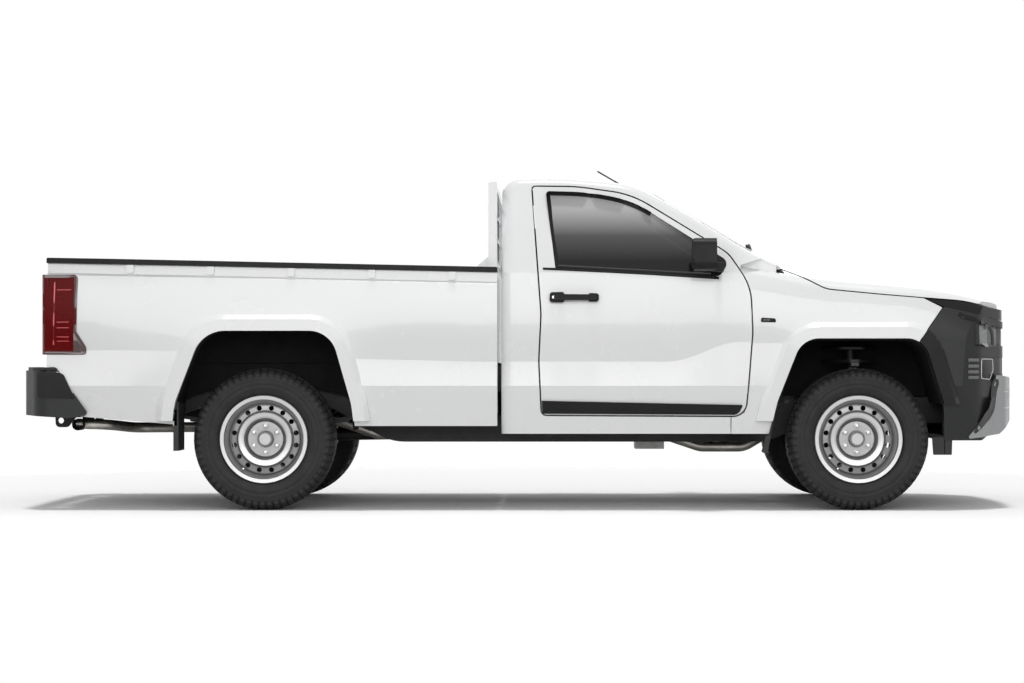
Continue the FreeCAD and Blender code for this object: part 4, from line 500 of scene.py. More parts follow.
class Shape:
    """Vertices and faces gathered for one piece."""

    def __init__(self, verts=(), faces=()):
        self.verts = list(verts)
        self.faces = list(faces)

    def rings(self, rings, closed=False):
        """Joins rings of equally many points; closed joins the last ring to the first and leaves no caps."""
        start = len(self.verts)
        count = len(rings[0])
        for ring in rings:
            self.verts.extend(Vector(p) for p in ring)
        for i in range(len(rings) if closed else len(rings) - 1):
            a = start + i * count
            b = start + (i + 1) % len(rings) * count
            for j in range(count):
                k = (j + 1) % count
                self.faces.append((a + j, a + k, b + k, b + j))
        if not closed:
            self.faces.append(tuple(range(start + count - 1, start - 1, -1)))
            last = start + (len(rings) - 1) * count
            self.faces.append(tuple(range(last, last + count)))
        return self

    def prism(self, outline, place, low, high, edge=0.0):
        """A plate with a flat outline of (a, b) points from depth low to high, its rims chamfered by edge."""
        steps = [(low, 0.0), (high, 0.0)]
        if edge:
            steps = [(low, edge), (low + edge, 0.0), (high - edge, 0.0), (high, edge)]
        return self.rings([[place(a, b, depth) for a, b in shrunk(outline, inset)] for depth, inset in steps])

    def plate(self, outline, radius, steps, place, low, high, edge):
        """A prism whose outline has round corners."""
        return self.prism(rounded(outline, radius, steps), place, low, high, edge)

    def box(self, low, high, edge=0.002):
        """A block with chamfered rims."""
        outline = [(low[0], low[1]), (high[0], low[1]), (high[0], high[1]), (low[0], high[1])]
        return self.plate(outline, edge * 2, 2, top_place, low[2], high[2], edge)

    def tube(self, points, radius, sides=12):
        """A round bar along points, of one radius or of one for each point."""
        points = [Vector(p) for p in points]
        loops = []
        axis = None
        for i, point in enumerate(points):
            along = (points[min(i + 1, len(points) - 1)] - points[max(i - 1, 0)]).normalized()
            if axis is None:
                axis = along.orthogonal().normalized()
            axis = (axis - along * axis.dot(along)).normalized()
            other = along.cross(axis)
            size = radius[i] if isinstance(radius, (list, tuple)) else radius
            loops.append([point + (axis * math.cos(t) + other * math.sin(t)) * size for t in turns(sides)])
        return self.rings(loops)

    def lathe(self, profile, centre, axis, sides=48, closed=False):
        """A turned form from (radius, height) pairs about axis."""
        centre = Vector(centre)
        axis = Vector(axis).normalized()
        across = axis.orthogonal().normalized()
        other = axis.cross(across)
        loops = []
        for r, h in profile:
            size = max(r, 1e-4)
            loops.append([
                centre + axis * h + (across * math.cos(t) + other * math.sin(t)) * size for t in turns(sides)
            ])
        return self.rings(loops, closed)

    def ribbon(self, path, width, tree, lift, put=on_side, closed=False):
        """A raised strip along path on a surface, as (a, b) points; put finds the surface."""
        path = [Vector(p) for p in path]
        count = len(path)
        widths = width if isinstance(width, (list, tuple)) else [width] * count
        rings = []
        for i, here in enumerate(path):
            before = path[i - 1] if i or closed else here
            after = path[(i + 1) % count] if i < count - 1 or closed else here
            along = (after - before).normalized()
            across = Vector((-along.y, along.x)) * widths[i] / 2
            inner = across * max(1 - 2 * lift / max(widths[i], 1e-4), 0.3)
            low = lift * 0.4
            section = (
                (across, -0.002), (across, low), (inner, lift), (-inner, lift), (-across, low),
                (-across, -0.002),
            )
            rings.append([put(tree, *(here + offset), height) for offset, height in section])
        return self.rings(rings, closed)

    def patch(self, outline, tree, lift, put=on_side, sink=0.004):
        """A thin plate with the outline of (a, b) points that follows a surface."""
        rings = []
        for inset, height in ((0.0, -sink), (0.0, lift * 0.5), (lift, lift)):
            rings.append([put(tree, a, b, height) for a, b in shrunk(outline, inset)])
        return self.rings(rings)

    def flipped(self):
        """The same shape on the other side only."""
        return Shape([Vector((v.x, -v.y, v.z)) for v in self.verts], [tuple(reversed(f)) for f in self.faces])

    def mesh(self, name, mat, sharp=SKIN_SHARP):
        """The faces as one smooth mesh that keeps its sharp edges."""
        mesh = bpy.data.meshes.new(name)
        mesh.from_pydata([tuple(v) for v in self.verts], [], self.faces)
        mesh.validate()
        mesh.materials.append(mat)
        mesh.shade_smooth()
        mesh.set_sharp_from_angle(angle=sharp)
        return mesh

    def done(self, name, mat, slot, body="truck", sharp=SKIN_SHARP, stands_for=()):
        """Makes the piece, gives it its material and puts it on its body."""
        piece = linked(name, self.mesh(name, mat, sharp))
        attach(piece, body)
        if stands_for:
            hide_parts(*stands_for)
        return piece

    def both(self, name, mat, slot, body="truck"):
        """The shape as a right piece and its mirror image as a left piece; body has a place for the side."""
        self.done(name + "_right", mat, slot, body.format("right"))
        self.flipped().done(name + "_left", mat, slot, body.format("left"))


def copied_faces(node_name, wanted, lift=0.0):
    """A shape of the faces of a CAD node that wanted(centre, normal) accepts, raised along their normals."""
    mesh = NODES[node_name].data
    shape = Shape()
    index = {}
    normals = {}
    chosen = [p for p in mesh.polygons if wanted(p.center, p.normal)]
    for polygon in chosen:
        for v in polygon.vertices:
            key = tuple(round(c, 5) for c in mesh.vertices[v].co)
            normals[key] = normals.get(key, Vector()) + polygon.normal * polygon.area
    for polygon in chosen:
        face = []
        for v in polygon.vertices:
            key = tuple(round(c, 5) for c in mesh.vertices[v].co)
            if key not in index:
                index[key] = len(shape.verts)
                shape.verts.append(Vector(key) + normals[key].normalized() * lift)
            face.append(index[key])
        if len(set(face)) == len(face):
            shape.faces.append(tuple(face))
    return shape


# Tyres and wheels

TREAD_PITCHES = 58
TREAD_DEPTH = 0.009
SHOULDER_Y = 0.1085
CROWN = ((0.0, 0.373), (0.0525, 0.373), (0.0885, 0.369), (SHOULDER_Y, 0.357), (0.116, 0.34), (0.1195, 0.327))
CARCASS_Y = (0.0, 0.03, 0.0525, 0.07, 0.0885)
SIDEWALL = (
    (0.105, 0.35), (0.1125, 0.338), (0.1195, 0.327), (0.1215, 0.318), (0.1205, 0.314), (0.1225, 0.309),
    (0.1225, 0.292), (0.12, 0.287), (0.1215, 0.283), (0.1195, 0.262), (0.113, 0.252), (0.1125, 0.248),
    (0.106, 0.24), (0.0998, 0.2365), (0.09, 0.234), (0.0895, 0.217),
)
# Tread blocks as (share of a pitch, y) corners: the centre row, the middle row and the shoulder lug
CENTRE_BLOCK = ((0.04, 0.0025), (0.7, 0.0025), (0.92, 0.01), (0.84, 0.0245), (0.16, 0.0245), (0.02, 0.014))
MIDDLE_BLOCK = ((0.22, 0.0305), (0.96, 0.0305), (1.08, 0.046), (0.88, 0.058), (0.18, 0.058), (0.1, 0.044))
LUG_REACH = (0.1178, 0.11)


def shoulder_lug(reach):
    """The corners of a shoulder lug that reaches out to y."""
    inner = ((0.0, 0.0645), (0.72, 0.0645), (0.78, 0.0885), (0.74, 0.108))
    return (*inner, (0.66, reach), (0.12, reach), (0.04, 0.108), (-0.02, 0.0885))


def crown_radius(y):
    """The tyre's outer radius at a distance y from its middle plane."""
    y = abs(y)
    for (y0, r0), (y1, r1) in zip(CROWN, CROWN[1:]):
        if y <= y1:
            return r0 + (r1 - r0) * (y - y0) / (y1 - y0)
    return CROWN[-1][1]


def tread_block(shape, corners):
    """One tread block from (angle, y) corners: walls, a small chamfer and a top that follows the crown."""
    middle = Vector((sum(a for a, b in corners) / len(corners), sum(b for a, b in corners) / len(corners)))
    rings = []
    for drop, pull in ((TREAD_DEPTH, -0.05), (0.0014, 0.0), (0.0, 0.07)):
        ring = []
        for corner in corners:
            at = Vector(corner)
            at = at + (middle - at) * pull
            on_shoulder = abs(at.y) > SHOULDER_Y
            r = crown_radius(at.y) - drop * (0.35 if on_shoulder else 1.0)
            side = at.y - math.copysign(drop * 0.8 if on_shoulder else 0.0, at.y)
            ring.append((r * math.cos(at.x), side, r * math.sin(at.x)))
        rings.append(ring)
    shape.rings(rings)


def wall_block(shape, side, first, last, inner, steps):
    """A block on the sidewall between two angles, from (height, outer radius) steps."""
    rings = []
    for height, outer in steps:
        corners = ((first, inner), (last, inner), (last, outer), (first, outer))
        rings.append([(r * math.cos(a), side * height, r * math.sin(a)) for a, r in corners])
    shape.rings(rings)


def tyre_shape():
    """An all-terrain tyre about the Y axis: carcass, rows of blocks, shoulder lugs and sidewall blocks."""
    shape = Shape()
    carcass = [(crown_radius(y) - TREAD_DEPTH, y) for y in CARCASS_Y] + [(r, y) for y, r in SIDEWALL]
    profile = [(r, -y) for r, y in reversed(carcass[1:])] + carcass
    shape.lathe(profile, (0, 0, 0), (0, 1, 0), sides=144, closed=True)
    step = 2 * math.pi / TREAD_PITCHES
    for i in range(TREAD_PITCHES):
        for s, offset in ((-1, 0.0), (1, 0.5)):
            for corners in (CENTRE_BLOCK, MIDDLE_BLOCK, shoulder_lug(LUG_REACH[i % 2])):
                tread_block(shape, [((i + offset + a) * step, s * y) for a, y in corners])
    for s, offset in ((-1, 0.0), (1, 0.5)):
        for i in range(TREAD_PITCHES):
            first = i + offset + 0.08
            steps = ((0.11, 0.354), (0.1195, 0.345))
            wall_block(shape, s, first * step, (first + 0.6) * step, 0.3195 if i % 2 else 0.327, steps)
        for i in range(TREAD_PITCHES * 2):
            first = (i + 0.2) / 2
            steps = ((0.12, 0.3135), (0.1229, 0.3135))
            wall_block(shape, s, first * step, (first + 0.25) * step, 0.3035 if i % 4 < 2 else 0.3075, steps)
    return shape


STUD_CIRCLE = 0.06985
VALVE_ANGLE = 4.1


def bolt_shape():
    """Hex nuts with washers round the hub and the valve, about the Y axis with -Y outwards."""
    shape = Shape()
    outwards = (0, -1, 0)
    for angle in turns(6, math.pi / 6):
        centre = (STUD_CIRCLE * math.cos(angle), 0, STUD_CIRCLE * math.sin(angle))
        shape.lathe([(0.015, 0.0075), (0.015, 0.01), (0.014, 0.011)], centre, outwards, 20)
        shape.lathe([(0.0124, 0.011), (0.0124, 0.0275), (0.0104, 0.0295)], centre, outwards, 6)
        shape.lathe([(0.009, 0.029), (0.0085, 0.033), (0.005, 0.035)], centre, outwards, 14)
    lean = Vector((math.cos(VALVE_ANGLE), 0, math.sin(VALVE_ANGLE)))
    root = lean * 0.196 + Vector((0, -0.044, 0))
    middle = root + Vector((0, -0.022, 0)) - lean * 0.004
    return shape.tube([root, middle, root + Vector((0, -0.04, 0)) - lean * 0.007], [0.0052, 0.0042, 0.0038],
                      10)


TYRE = tyre_shape().mesh("tread_tyre", RUBBER, math.radians(28))
BOLTS = bolt_shape()
for end, axle_x in (("front", FRONT_AXLE_X), ("rear", REAR_AXLE_X)):
    for side, sign in SIDES:
        where = Vector((axle_x, -sign * WHEEL_Y, AXLE_Z))
        wheel_body = f"wheel_{end}_{side}"
        tyre = linked(f"tread_{end}_{side}", TYRE)
        tyre.location = where
        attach(tyre, wheel_body)
        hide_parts(f"tyre_{end}_{side}")
        bolts = Shape([Vector((v.x * sign, v.y * sign, v.z)) + where for v in BOLTS.verts], BOLTS.faces)
        bolts.done(f"wheel_bolts_{end}_{side}", CHROME, "wheel_steel", wheel_body)


# Doors: window frames, belt strips, mirrors, locks and inner trim

WINDOW = moved(
    CAB_REAR_X, (0.284, 1.274, 0.012), (0.234, 1.69, 0.022), (0.47, 1.684, 0.2), (0.7, 1.636, 0.2),
    (1.2, 1.31, 0.05), (1.15, 1.226, 0.06),
)
SAIL_X = CAB_REAR_X + 1.112
MIRROR_FACE_X = CAB_REAR_X + 1.058 - 0.0525
MIRROR_MIDDLE = (1.002, -1.346)
door_skin = skin_of("door_right")


def window_trim():
    """The black rubber run round a side window and the belt strip under it."""
    path = [(x, z) for x, z in shrunk(rounded(WINDOW, 0.02, 6), 0.0095) if x < SAIL_X - 0.004]
    start = max(range(len(path)), key=lambda i: path[i][0] + (1 if path[i][1] < 1.3 else 0))
    path = path[start:] + path[:start]
    if path[1][0] > path[0][0]:
        path = [path[0]] + path[:0:-1]
    run = Shape().ribbon(path, 0.021, skin_of("door_glass_right"), 0.009)
    run.both("window_run", TRIM, "dark_trim", "door_{}")
    belt = moved(CAB_REAR_X, (0.219, 1.272), (0.4, 1.264), (0.75, 1.246), (1.02, 1.229), (1.145, 1.2215))
    strip = Shape().ribbon(curve_through(belt), 0.013, door_skin, 0.0045)
    strip.both("belt_strip", TRIM, "dark_trim", "door_{}")


def door_mirrors():
    """The mirror's glass plate at the back of its housing, and the rim round it."""
    outline = rounded([(-1.06, 1.286), (-1.052, 1.412), (-0.95, 1.405), (-0.944, 1.276)], 0.03, 5)
    glass = Shape().prism(outline, front_place, MIRROR_FACE_X - 0.004, MIRROR_FACE_X, 0.0012)
    glass.both("mirror_glass", MIRROR_GLASS, "dark_trim", "door_{}")
    back = Vector((-0.006, 0, 0))
    rings = []
    for y, z in shrunk(outline, -0.004):
        out = Vector((0, y + MIRROR_MIDDLE[0], z + MIRROR_MIDDLE[1])).normalized() * 0.004
        at = Vector((MIRROR_FACE_X, y, z))
        rings.append([at - out, at - out + back, at + out + back, at + out])
    Shape().rings(rings, closed=True).both("mirror_rim", TRIM, "dark_trim", "door_{}")


def door_details():
    """The lock, the moulding's groove and the door's lining, armrest and pockets."""
    profile = [(0.0085, -0.004), (0.0085, 0.0012), (0.007, 0.0022), (0.0, 0.0024)]
    lock = Shape().lathe(profile, (CAB_REAR_X + 0.275, -0.9235, 1.12), (0, -1, 0), 24)
    lock.both("door_lock", CHROME, "dark_trim", "door_{}")
    trim_skin = skin_of("door_trim_right")
    lower = moved(CAB_REAR_X, (0.23, 0.5265), (0.7, 0.5235), (1.235, 0.5195))
    upper = moved(CAB_REAR_X, (0.23, 0.56), (0.7, 0.5525), (1.245, 0.5435))
    groove = Shape().ribbon(lower, 0.004, trim_skin, 0.0012).ribbon(upper, 0.003, trim_skin, 0.0012)
    groove.both("moulding_ribs", GLOSS_BLACK, "dark_trim", "door_{}")

    def lined(c, n):
        return n.y > 0.55 and 0.545 < c.z < 1.235 and CAB_REAR_X + 0.23 < c.x

    copied_faces("door_right", lined, 0.004).both("door_lining", CABIN, "cabin_plastic", "door_{}")
    armrest = [(0.3, 0.86), (0.28, 0.93), (0.8, 0.965), (1.0, 0.99), (1.02, 0.93), (0.82, 0.89)]
    rest = Shape().patch(rounded(armrest, 0.03, 5), door_skin, 0.03, on_door_inside, -0.002)
    rest.both("door_armrest", CABIN_LIGHT, "cabin_plastic", "door_{}")
    switches = rounded([(0.86, 1.05), (0.86, 1.11), (0.99, 1.12), (0.99, 1.06)], 0.02, 5)
    pocket = rounded([(0.34, 0.58), (0.34, 0.74), (0.88, 0.76), (1.02, 0.7), (1.02, 0.58)], 0.03, 5)
    bits = Shape().patch(switches, door_skin, 0.01, on_door_inside, -0.002)
    bits.patch(pocket, door_skin, 0.016, on_door_inside, -0.002)
    bits.both("door_pocket", CABIN, "cabin_plastic", "door_{}")


window_trim()
door_mirrors()
door_details()


# Cab: screens, wipers, lining and marker lamps

glass_skin = skin_of("cab_glass")


def screens():
    """The dark printed border of the windscreen and the rubber seal round the rear glass."""
    screen = moved(
        CAB_REAR_X, (0.806, -0.59, 0.06), (0.818, 0.0, 0.3), (0.806, 0.59, 0.06),
        (1.32, 0.766, 0.07), (1.416, 0.0, 0.5), (1.32, -0.766, 0.07),
    )
    path = shrunk(rounded(screen, 0.06, 10), 0.019)
    halves = [((a[0] + b[0]) / 2, (a[1] + b[1]) / 2) for a, b in zip(path, path[1:] + path[:1])]
    path = [p for pair in zip(path, halves) for p in pair if p[0] < CAB_REAR_X + 1.385]
    Shape().ribbon(path, 0.036, glass_skin, 0.0012, on_top).done("screen_border", GLOSS_BLACK, "glass")
    back = rounded([(-0.6, 1.3, 0.05), (-0.56, 1.65, 0.06), (0.56, 1.65, 0.06), (0.6, 1.3, 0.05)], 0.05, 6)
    seal = Shape().ribbon(shrunk(back, 0.012), 0.026, None, 0.0065, on_back, closed=True)
    seal.done("rear_glass_seal", TRIM, "dark_trim")


def above_foot(y, back, lift):
    """A point of the windscreen at y, a little behind its lower edge."""
    foot = on_glass(glass_skin, AHEAD_OF_GLASS_X, y, 0.0)
    return on_glass(glass_skin, foot.x - back, y, lift)


# A wiper blade's section, as (across, up) from the line where its lip lies
BLADE_SECTION = (
    (-0.0018, -0.0065), (0.0018, -0.0065), (0.0075, 0.002), (0.0055, 0.009), (-0.0055, 0.009),
    (-0.0075, 0.002),
)
BLADE_UP = Vector((0.45, 0, 0.89))
BLADE_ACROSS = Vector((0.89, 0, -0.45))


def wipers():
    """Two wipers parked low on the windscreen."""
    blades = Shape()
    arms = Shape()
    for pivot_y, tip_y in ((-0.62, -0.08), (0.02, 0.54)):
        root = on_glass(glass_skin, AHEAD_OF_GLASS_X, pivot_y, 0.0)
        base = Vector((root.x + 0.022, pivot_y, COWL_TOP_Z))
        tip = above_foot(tip_y, 0.04, 0.016)
        middle = above_foot((pivot_y + tip_y) / 2, 0.02, 0.018)
        arms.lathe([(0.017, -0.014), (0.017, 0.006), (0.012, 0.012), (0.0, 0.013)], base, (0, 0, 1), 20)
        line = curve_through([base + Vector((0, 0, 0.006)), middle, tip])
        arms.tube(line, [0.009 - 0.005 * i / 12 for i in range(13)], 8)
        rings = []
        for i in range(15):
            t = i / 14
            at = above_foot(tip_y - 0.36 + 0.5 * t, 0.036 + 0.012 * t, 0.0085)
            rings.append([at + BLADE_UP * up + BLADE_ACROSS * across for across, up in BLADE_SECTION])
        blades.rings(rings)
    arms.done("wiper_arms", TRIM, "dark_trim")
    blades.done("wiper_blades", FLAP, "dark_trim")


def cab_details():
    """Roof lining, inner mirror, sun visors and side marker lamps."""
    def roof(c, n):
        return n.z < -0.55 and c.z > 1.55 and 0.0 < c.x < 0.72 and abs(c.y) < 0.62

    copied_faces("cab_shell", roof, 0.006).done("roof_lining", CABIN_LIGHT, "cabin_plastic")
    housing = [(-0.115, 1.575), (-0.105, 1.635), (0.105, 1.635), (0.115, 1.575)]
    inner = Shape().plate(housing, 0.03, 5, front_place, 0.735, 0.765, 0.006)
    inner.tube([(0.762, 0, 1.615), (0.778, 0, 1.655)], 0.008, 10).done("inner_mirror", CABIN, "cabin_plastic")
    glass = [(-0.106, 1.583), (-0.098, 1.628), (0.098, 1.628), (0.106, 1.583)]
    plate = Shape().plate(glass, 0.024, 5, front_place, 0.7335, 0.7355, 0.0008)
    plate.done("inner_mirror_glass", MIRROR_GLASS, "cabin_plastic")
    visors = Shape()
    for y in (-0.4, 0.4):
        outline = rect(0.5, 0.65, y - 0.19, y + 0.19)
        visors.plate(outline, 0.03, 4, lambda a, b, d: (a, b, d - 0.18 * (a - 0.5)), 1.665, 1.68, 0.005)
    visors.done("sun_visors", CABIN_LIGHT, "cabin_plastic")
    fender_skin = skin_of("front_fenders")
    base = rounded([(1.252, 0.99), (1.256, 1.013), (1.33, 1.009), (1.334, 0.988)], 0.008, 4)
    Shape().patch(base, fender_skin, 0.006).both("marker_base", TRIM, "dark_trim")
    lens = rounded([(1.262, 0.9935), (1.264, 1.0085), (1.304, 1.0075), (1.304, 0.9925)], 0.005, 4)
    Shape().patch(lens, fender_skin, 0.0085, sink=-0.005).both("marker_lens", LENS, "lamp_clear")


screens()
wipers()
cab_details()


# Interior: seats, dashboard and controls

PAD_STEPS = (14, 18, 14)
PAD_POWER = 7.0
SEAM_DEPTH = 0.01
SEAT_X = CAB_REAR_X + 0.21
SIDE_CHANNELS = ((1, -0.62, 0.05), (1, 0.62, 0.05))
# Each seat's pads: name, (x, half width, z) of both corners, lean, crown, channels and fill
SEAT_PADS = (
    ("cushion", (0.03, 0.235, 0.135), (0.565, 0.235, 0.248), 0.0, 0.016, SIDE_CHANNELS + ((0, 0.45, 0.05),),
     0.8),
    ("back", (0.075, 0.225, 0.235), (0.185, 0.225, 0.805), 0.165, 0.018,
     SIDE_CHANNELS + ((2, 0.35, 0.04), (2, -0.25, 0.04)), 0.8),
    ("headrest", (-0.105, 0.118, 0.835), (-0.025, 0.118, 0.998), 0.01, 0.01, (), 0.9),
)


def pad(name, low, high, lean, crown, channels):
    """A crowned cushion between two corners, leaning back by lean over its height, with sewn channels."""
    low = Vector(low)
    size = Vector(high) - low
    centre = (low + Vector(high)) / 2
    thin = min(range(3), key=lambda a: size[a])
    others = [a for a in range(3) if a != thin]
    shape = Shape()
    index = {}

    def corner(key):
        if key not in index:
            u = [2 * key[a] / PAD_STEPS[a] - 1 for a in range(3)]
            scale = max(abs(c) for c in u) / sum(abs(c) ** PAD_POWER for c in u) ** (1 / PAD_POWER)
            p = Vector([centre[a] + u[a] * scale * size[a] / 2 for a in range(3)])
            swell = (1 - u[others[0]] ** 4) * (1 - u[others[1]] ** 4)
            dip = sum(math.exp(-((u[axis] - place) / width) ** 2) for axis, place, width in channels)
            rise = crown * swell - SEAM_DEPTH * min(dip, 1.0)
            p[thin] += math.copysign(1, u[thin]) * rise * (abs(u[thin]) > 0.5)
            p.x -= lean * (p.z - low.z) / max(size.z, 1e-6)
            index[key] = len(shape.verts)
            shape.verts.append(p)
        return index[key]

    for axis in range(3):
        a, b = [k for k in range(3) if k != axis]
        for end in (0, PAD_STEPS[axis]):
            for m in range(PAD_STEPS[a]):
                for n in range(PAD_STEPS[b]):
                    face = []
                    for dm, dn in ((0, 0), (1, 0), (1, 1), (0, 1)):
                        at = [end, end, end]
                        at[a] = m + dm
                        at[b] = n + dn
                        face.append(corner(tuple(at)))
                    turned = (axis == 1) != (end == 0)
                    shape.faces.append(tuple(reversed(face)) if turned else tuple(face))
    piece = shape.done(name, CLOTH, "seat_cloth", sharp=math.radians(180))
    smooth = piece.modifiers.new("smooth", "SUBSURF")
    smooth.levels = 1
    smooth.render_levels = 1
    return piece


def seats():
    """Two seats with cushions, backrests, headrests, posts and belts."""
    for label, y in (("right", -0.4), ("left", 0.4)):
        for part, low, high, lean, crown, channels, fullness in SEAT_PADS:
            near = (SEAT_X + low[0], y - low[1], FLOOR_Z + low[2])
            far = (SEAT_X + high[0], y + high[1], FLOOR_Z + high[2])
            piece = pad(f"seat_{part}_{label}", near, far, lean, crown, channels)
            if part == "cushion" and label == "right":
                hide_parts("seats")
        outline = moved(SEAT_X, (0.05, FLOOR_Z + 0.001), (0.035, FLOOR_Z + 0.15), (0.56, FLOOR_Z + 0.15),
                        (0.545, FLOOR_Z + 0.001))
        base = Shape().plate(outline, 0.03, 4, side_place, y - 0.213, y + 0.213, 0.008)
        for post_y in (y - 0.055, y + 0.055):
            base.tube([(SEAT_X - 0.062, post_y, FLOOR_Z + 0.79), (SEAT_X - 0.068, post_y, FLOOR_Z + 0.85)],
                      0.006, 10)
        base.done(f"seat_base_{label}", CABIN, "cabin_plastic")
    belts = Shape()
    for s in (-1, 1):
        y = s * 0.7
        line = [(0.035, y * 0.97, 1.5), (0.045, y, 1.3), (0.055, y * 1.02, 1.0), (0.06, y * 1.03, 0.7)]
        section = ((-0.022, 0, 0), (0.022, 0, 0), (0.022, -s * 0.0015, 0), (-0.022, -s * 0.0015, 0))
        belts.rings([[p + Vector(offset) for offset in section] for p in curve_through(line)])
    belts.done("seat_belts", CABIN, "cabin_plastic")


def dashboard_details():
    """Instrument hood, screens, vents, levers, pedals and stalks."""
    y = STEERING_Y
    pods = Shape().plate([(y - 0.17, 1.235), (y - 0.15, 1.302), (y + 0.15, 1.302), (y + 0.17, 1.235)],
                         0.04, 5, front_place, 0.905, 1.05, 0.012)
    pods.plate([(-0.135, 1.05), (-0.125, 1.262), (0.125, 1.262), (0.135, 1.05)], 0.02, 5, front_place, 0.866,
               0.93, 0.008)
    pods.done("dash_pods", CABIN, "cabin_plastic")
    dark = Shape().plate([(y - 0.145, 1.24), (y - 0.13, 1.292), (y + 0.13, 1.292), (y + 0.145, 1.24)],
                         0.03, 5, front_place, 0.902, 0.909, 0.002)
    dark.plate(rect(-0.105, 0.105, 1.15, 1.248), 0.01, 4, front_place, 0.8625, 0.869, 0.002)
    dark.done("dash_screens", GLOSS_BLACK, "cabin_plastic")
    vents = Shape()
    for y in (-0.68, -0.2, 0.2, 0.68):
        for i in range(5):
            z = 1.165 + i * 0.013
            vents.plate(rect(y - 0.055, y + 0.055, z, z + 0.006), 0.002, 2, front_place, 0.8665, 0.893, 0.001)
    vents.done("dash_vents", TRIM, "cabin_plastic")
    knob = [(0.012, -0.012), (0.023, 0.004), (0.026, 0.024), (0.02, 0.042), (0.0, 0.048)]
    gaiter = [(0.052, -0.003), (0.046, 0.01), (0.03, 0.03), (0.016, 0.052), (0.01, 0.055)]
    levers = Shape().tube(curve_through([(0.9, 0.0, 0.905), (0.885, 0.0, 0.97), (0.862, 0.0, 1.03)]), 0.009)
    levers.lathe(knob, (0.862, 0, 1.03), (-0.3, 0, 1), 24).lathe(gaiter, (0.9, 0, 0.921), (-0.2, 0, 1), 24)
    levers.tube(curve_through([(0.7, -0.06, 0.8), (0.6, -0.06, 0.83), (0.48, -0.06, 0.87)], 5), 0.014)
    levers.done("levers", CABIN, "cabin_plastic")
    pedals = Shape()
    for y, width in ((-0.51, 0.035), (-0.41, 0.035), (-0.31, 0.022)):
        pedals.plate(rect(y - width, y + width, 0.62, 0.7), 0.01, 4,
                     lambda a, b, d: (d - (b - 0.62) * -0.35, a, b), 1.03, 1.042, 0.003)
        pedals.tube(curve_through([(1.06, y, 0.67), (1.1, y, 0.78), (1.13, y, 0.9)], 5), 0.007, 8)
    pedals.done("pedals", CABIN, "cabin_plastic")
    stalks = Shape()
    root = STEERING_CENTRE - STEERING_AXIS * 0.055
    for s in (-1, 1):
        line = [root, root + Vector((0.01, s * 0.1, 0.02)), root + Vector((0.0, s * 0.165, 0.025))]
        stalks.tube(line, [0.009, 0.007, 0.009], 10)
    stalks.done("column_stalks", CABIN, "cabin_plastic")


seats()
dashboard_details()


# Nose: lamps, fins, flares and the lower bar

LAMP_BOTTOM_Z = 0.86
LAMP_TOP_Z = 0.99
nose_skin = skin_of("front_bumper", "headlamps")
lamp_skin = skin_of("headlamps")
bar_skin = skin_of("front_lower_bar")
LAMP_EDGE = (
    (2.3, 1.034), (2.33, 1.02), (2.38, 1.006), (2.43, 0.994), (2.47, 0.975), (2.495, 0.95),
    (2.505, 0.905), (2.506, 0.868),
)
# The strip of painted shade on the lower bar's rear part: (x, z, width)
BAR_SHADE_STRIP = (
    (2.522, 0.69, 0.026), (2.517, 0.665, 0.04), (2.508, 0.63, 0.036), (2.502, 0.585, 0.034),
    (2.488, 0.53, 0.044), (2.46, 0.49, 0.048), (2.416, 0.44, 0.03), (2.386, 0.406, 0.014),
)


def outward(c, n):
    """True for a face of a nose lamp that looks ahead or to its own side."""
    return n.x > 0.25 or n.y * math.copysign(1, c.y) > 0.25


def nose_lamps():
    """The black strip under the hood, the clear lenses and what shows behind them."""
    strip = copied_faces("headlamps", lambda c, n: c.z > 1.0)
    strip.done("front_strip", GLOSS_BLACK, "lamp_clear", stands_for=("headlamps",))
    lens = copied_faces("headlamps", lambda c, n: LAMP_BOTTOM_Z - 0.01 < c.z < LAMP_TOP_Z)
    lens.done("headlamp_lenses", LENS, "lamp_clear")
    bucket = copied_faces("headlamps", lambda c, n: LAMP_BOTTOM_Z < c.z < LAMP_TOP_Z and outward(c, n), -0.03)
    bucket.done("headlamp_reflectors", SILVER_DARK, "lamp_clear")
    base = copied_faces("headlamps", lambda c, n: c.z < LAMP_BOTTOM_Z - 0.01)
    base.done("fin_units", BUMPER, "bumper_plastic")
    ribs = Shape()
    for i in range(7):
        ribs.ribbon([(x, 0.876 + i * 0.0145) for x in (2.412, 2.43, 2.448, 2.466)], 0.007, lamp_skin, -0.012)
    ribs.both("headlamp_ribs", SILVER, "lamp_clear")
    surround = Shape().ribbon(curve_through(LAMP_EDGE, 5), 0.026, nose_skin, 0.0035)
    surround.ribbon([(2.392, 0.872), (2.43, 0.87), (2.47, 0.868), (2.512, 0.866)], 0.014, nose_skin, 0.003)
    surround.ribbon([(2.391, 0.99), (2.39, 0.95), (2.39, 0.91), (2.39, 0.872)], 0.01, nose_skin, 0.003)
    surround.both("headlamp_surround", GLOSS_BLACK, "bumper_plastic")
    profile = [
        (0.012, -0.035), (0.022, -0.03), (0.0225, 0.002), (0.0185, 0.002), (0.017, -0.004), (0.012, 0.001),
        (0.0, 0.004),
    ]
    units = Shape()
    for y, x in ((-0.555, 2.545), (-0.635, 2.512)):
        for z in (0.905, 0.948):
            units.lathe(profile, (x, y, z), (1, -0.1, 0), 28)
    units.both("headlamp_projectors", MIRROR_GLASS, "lamp_clear")


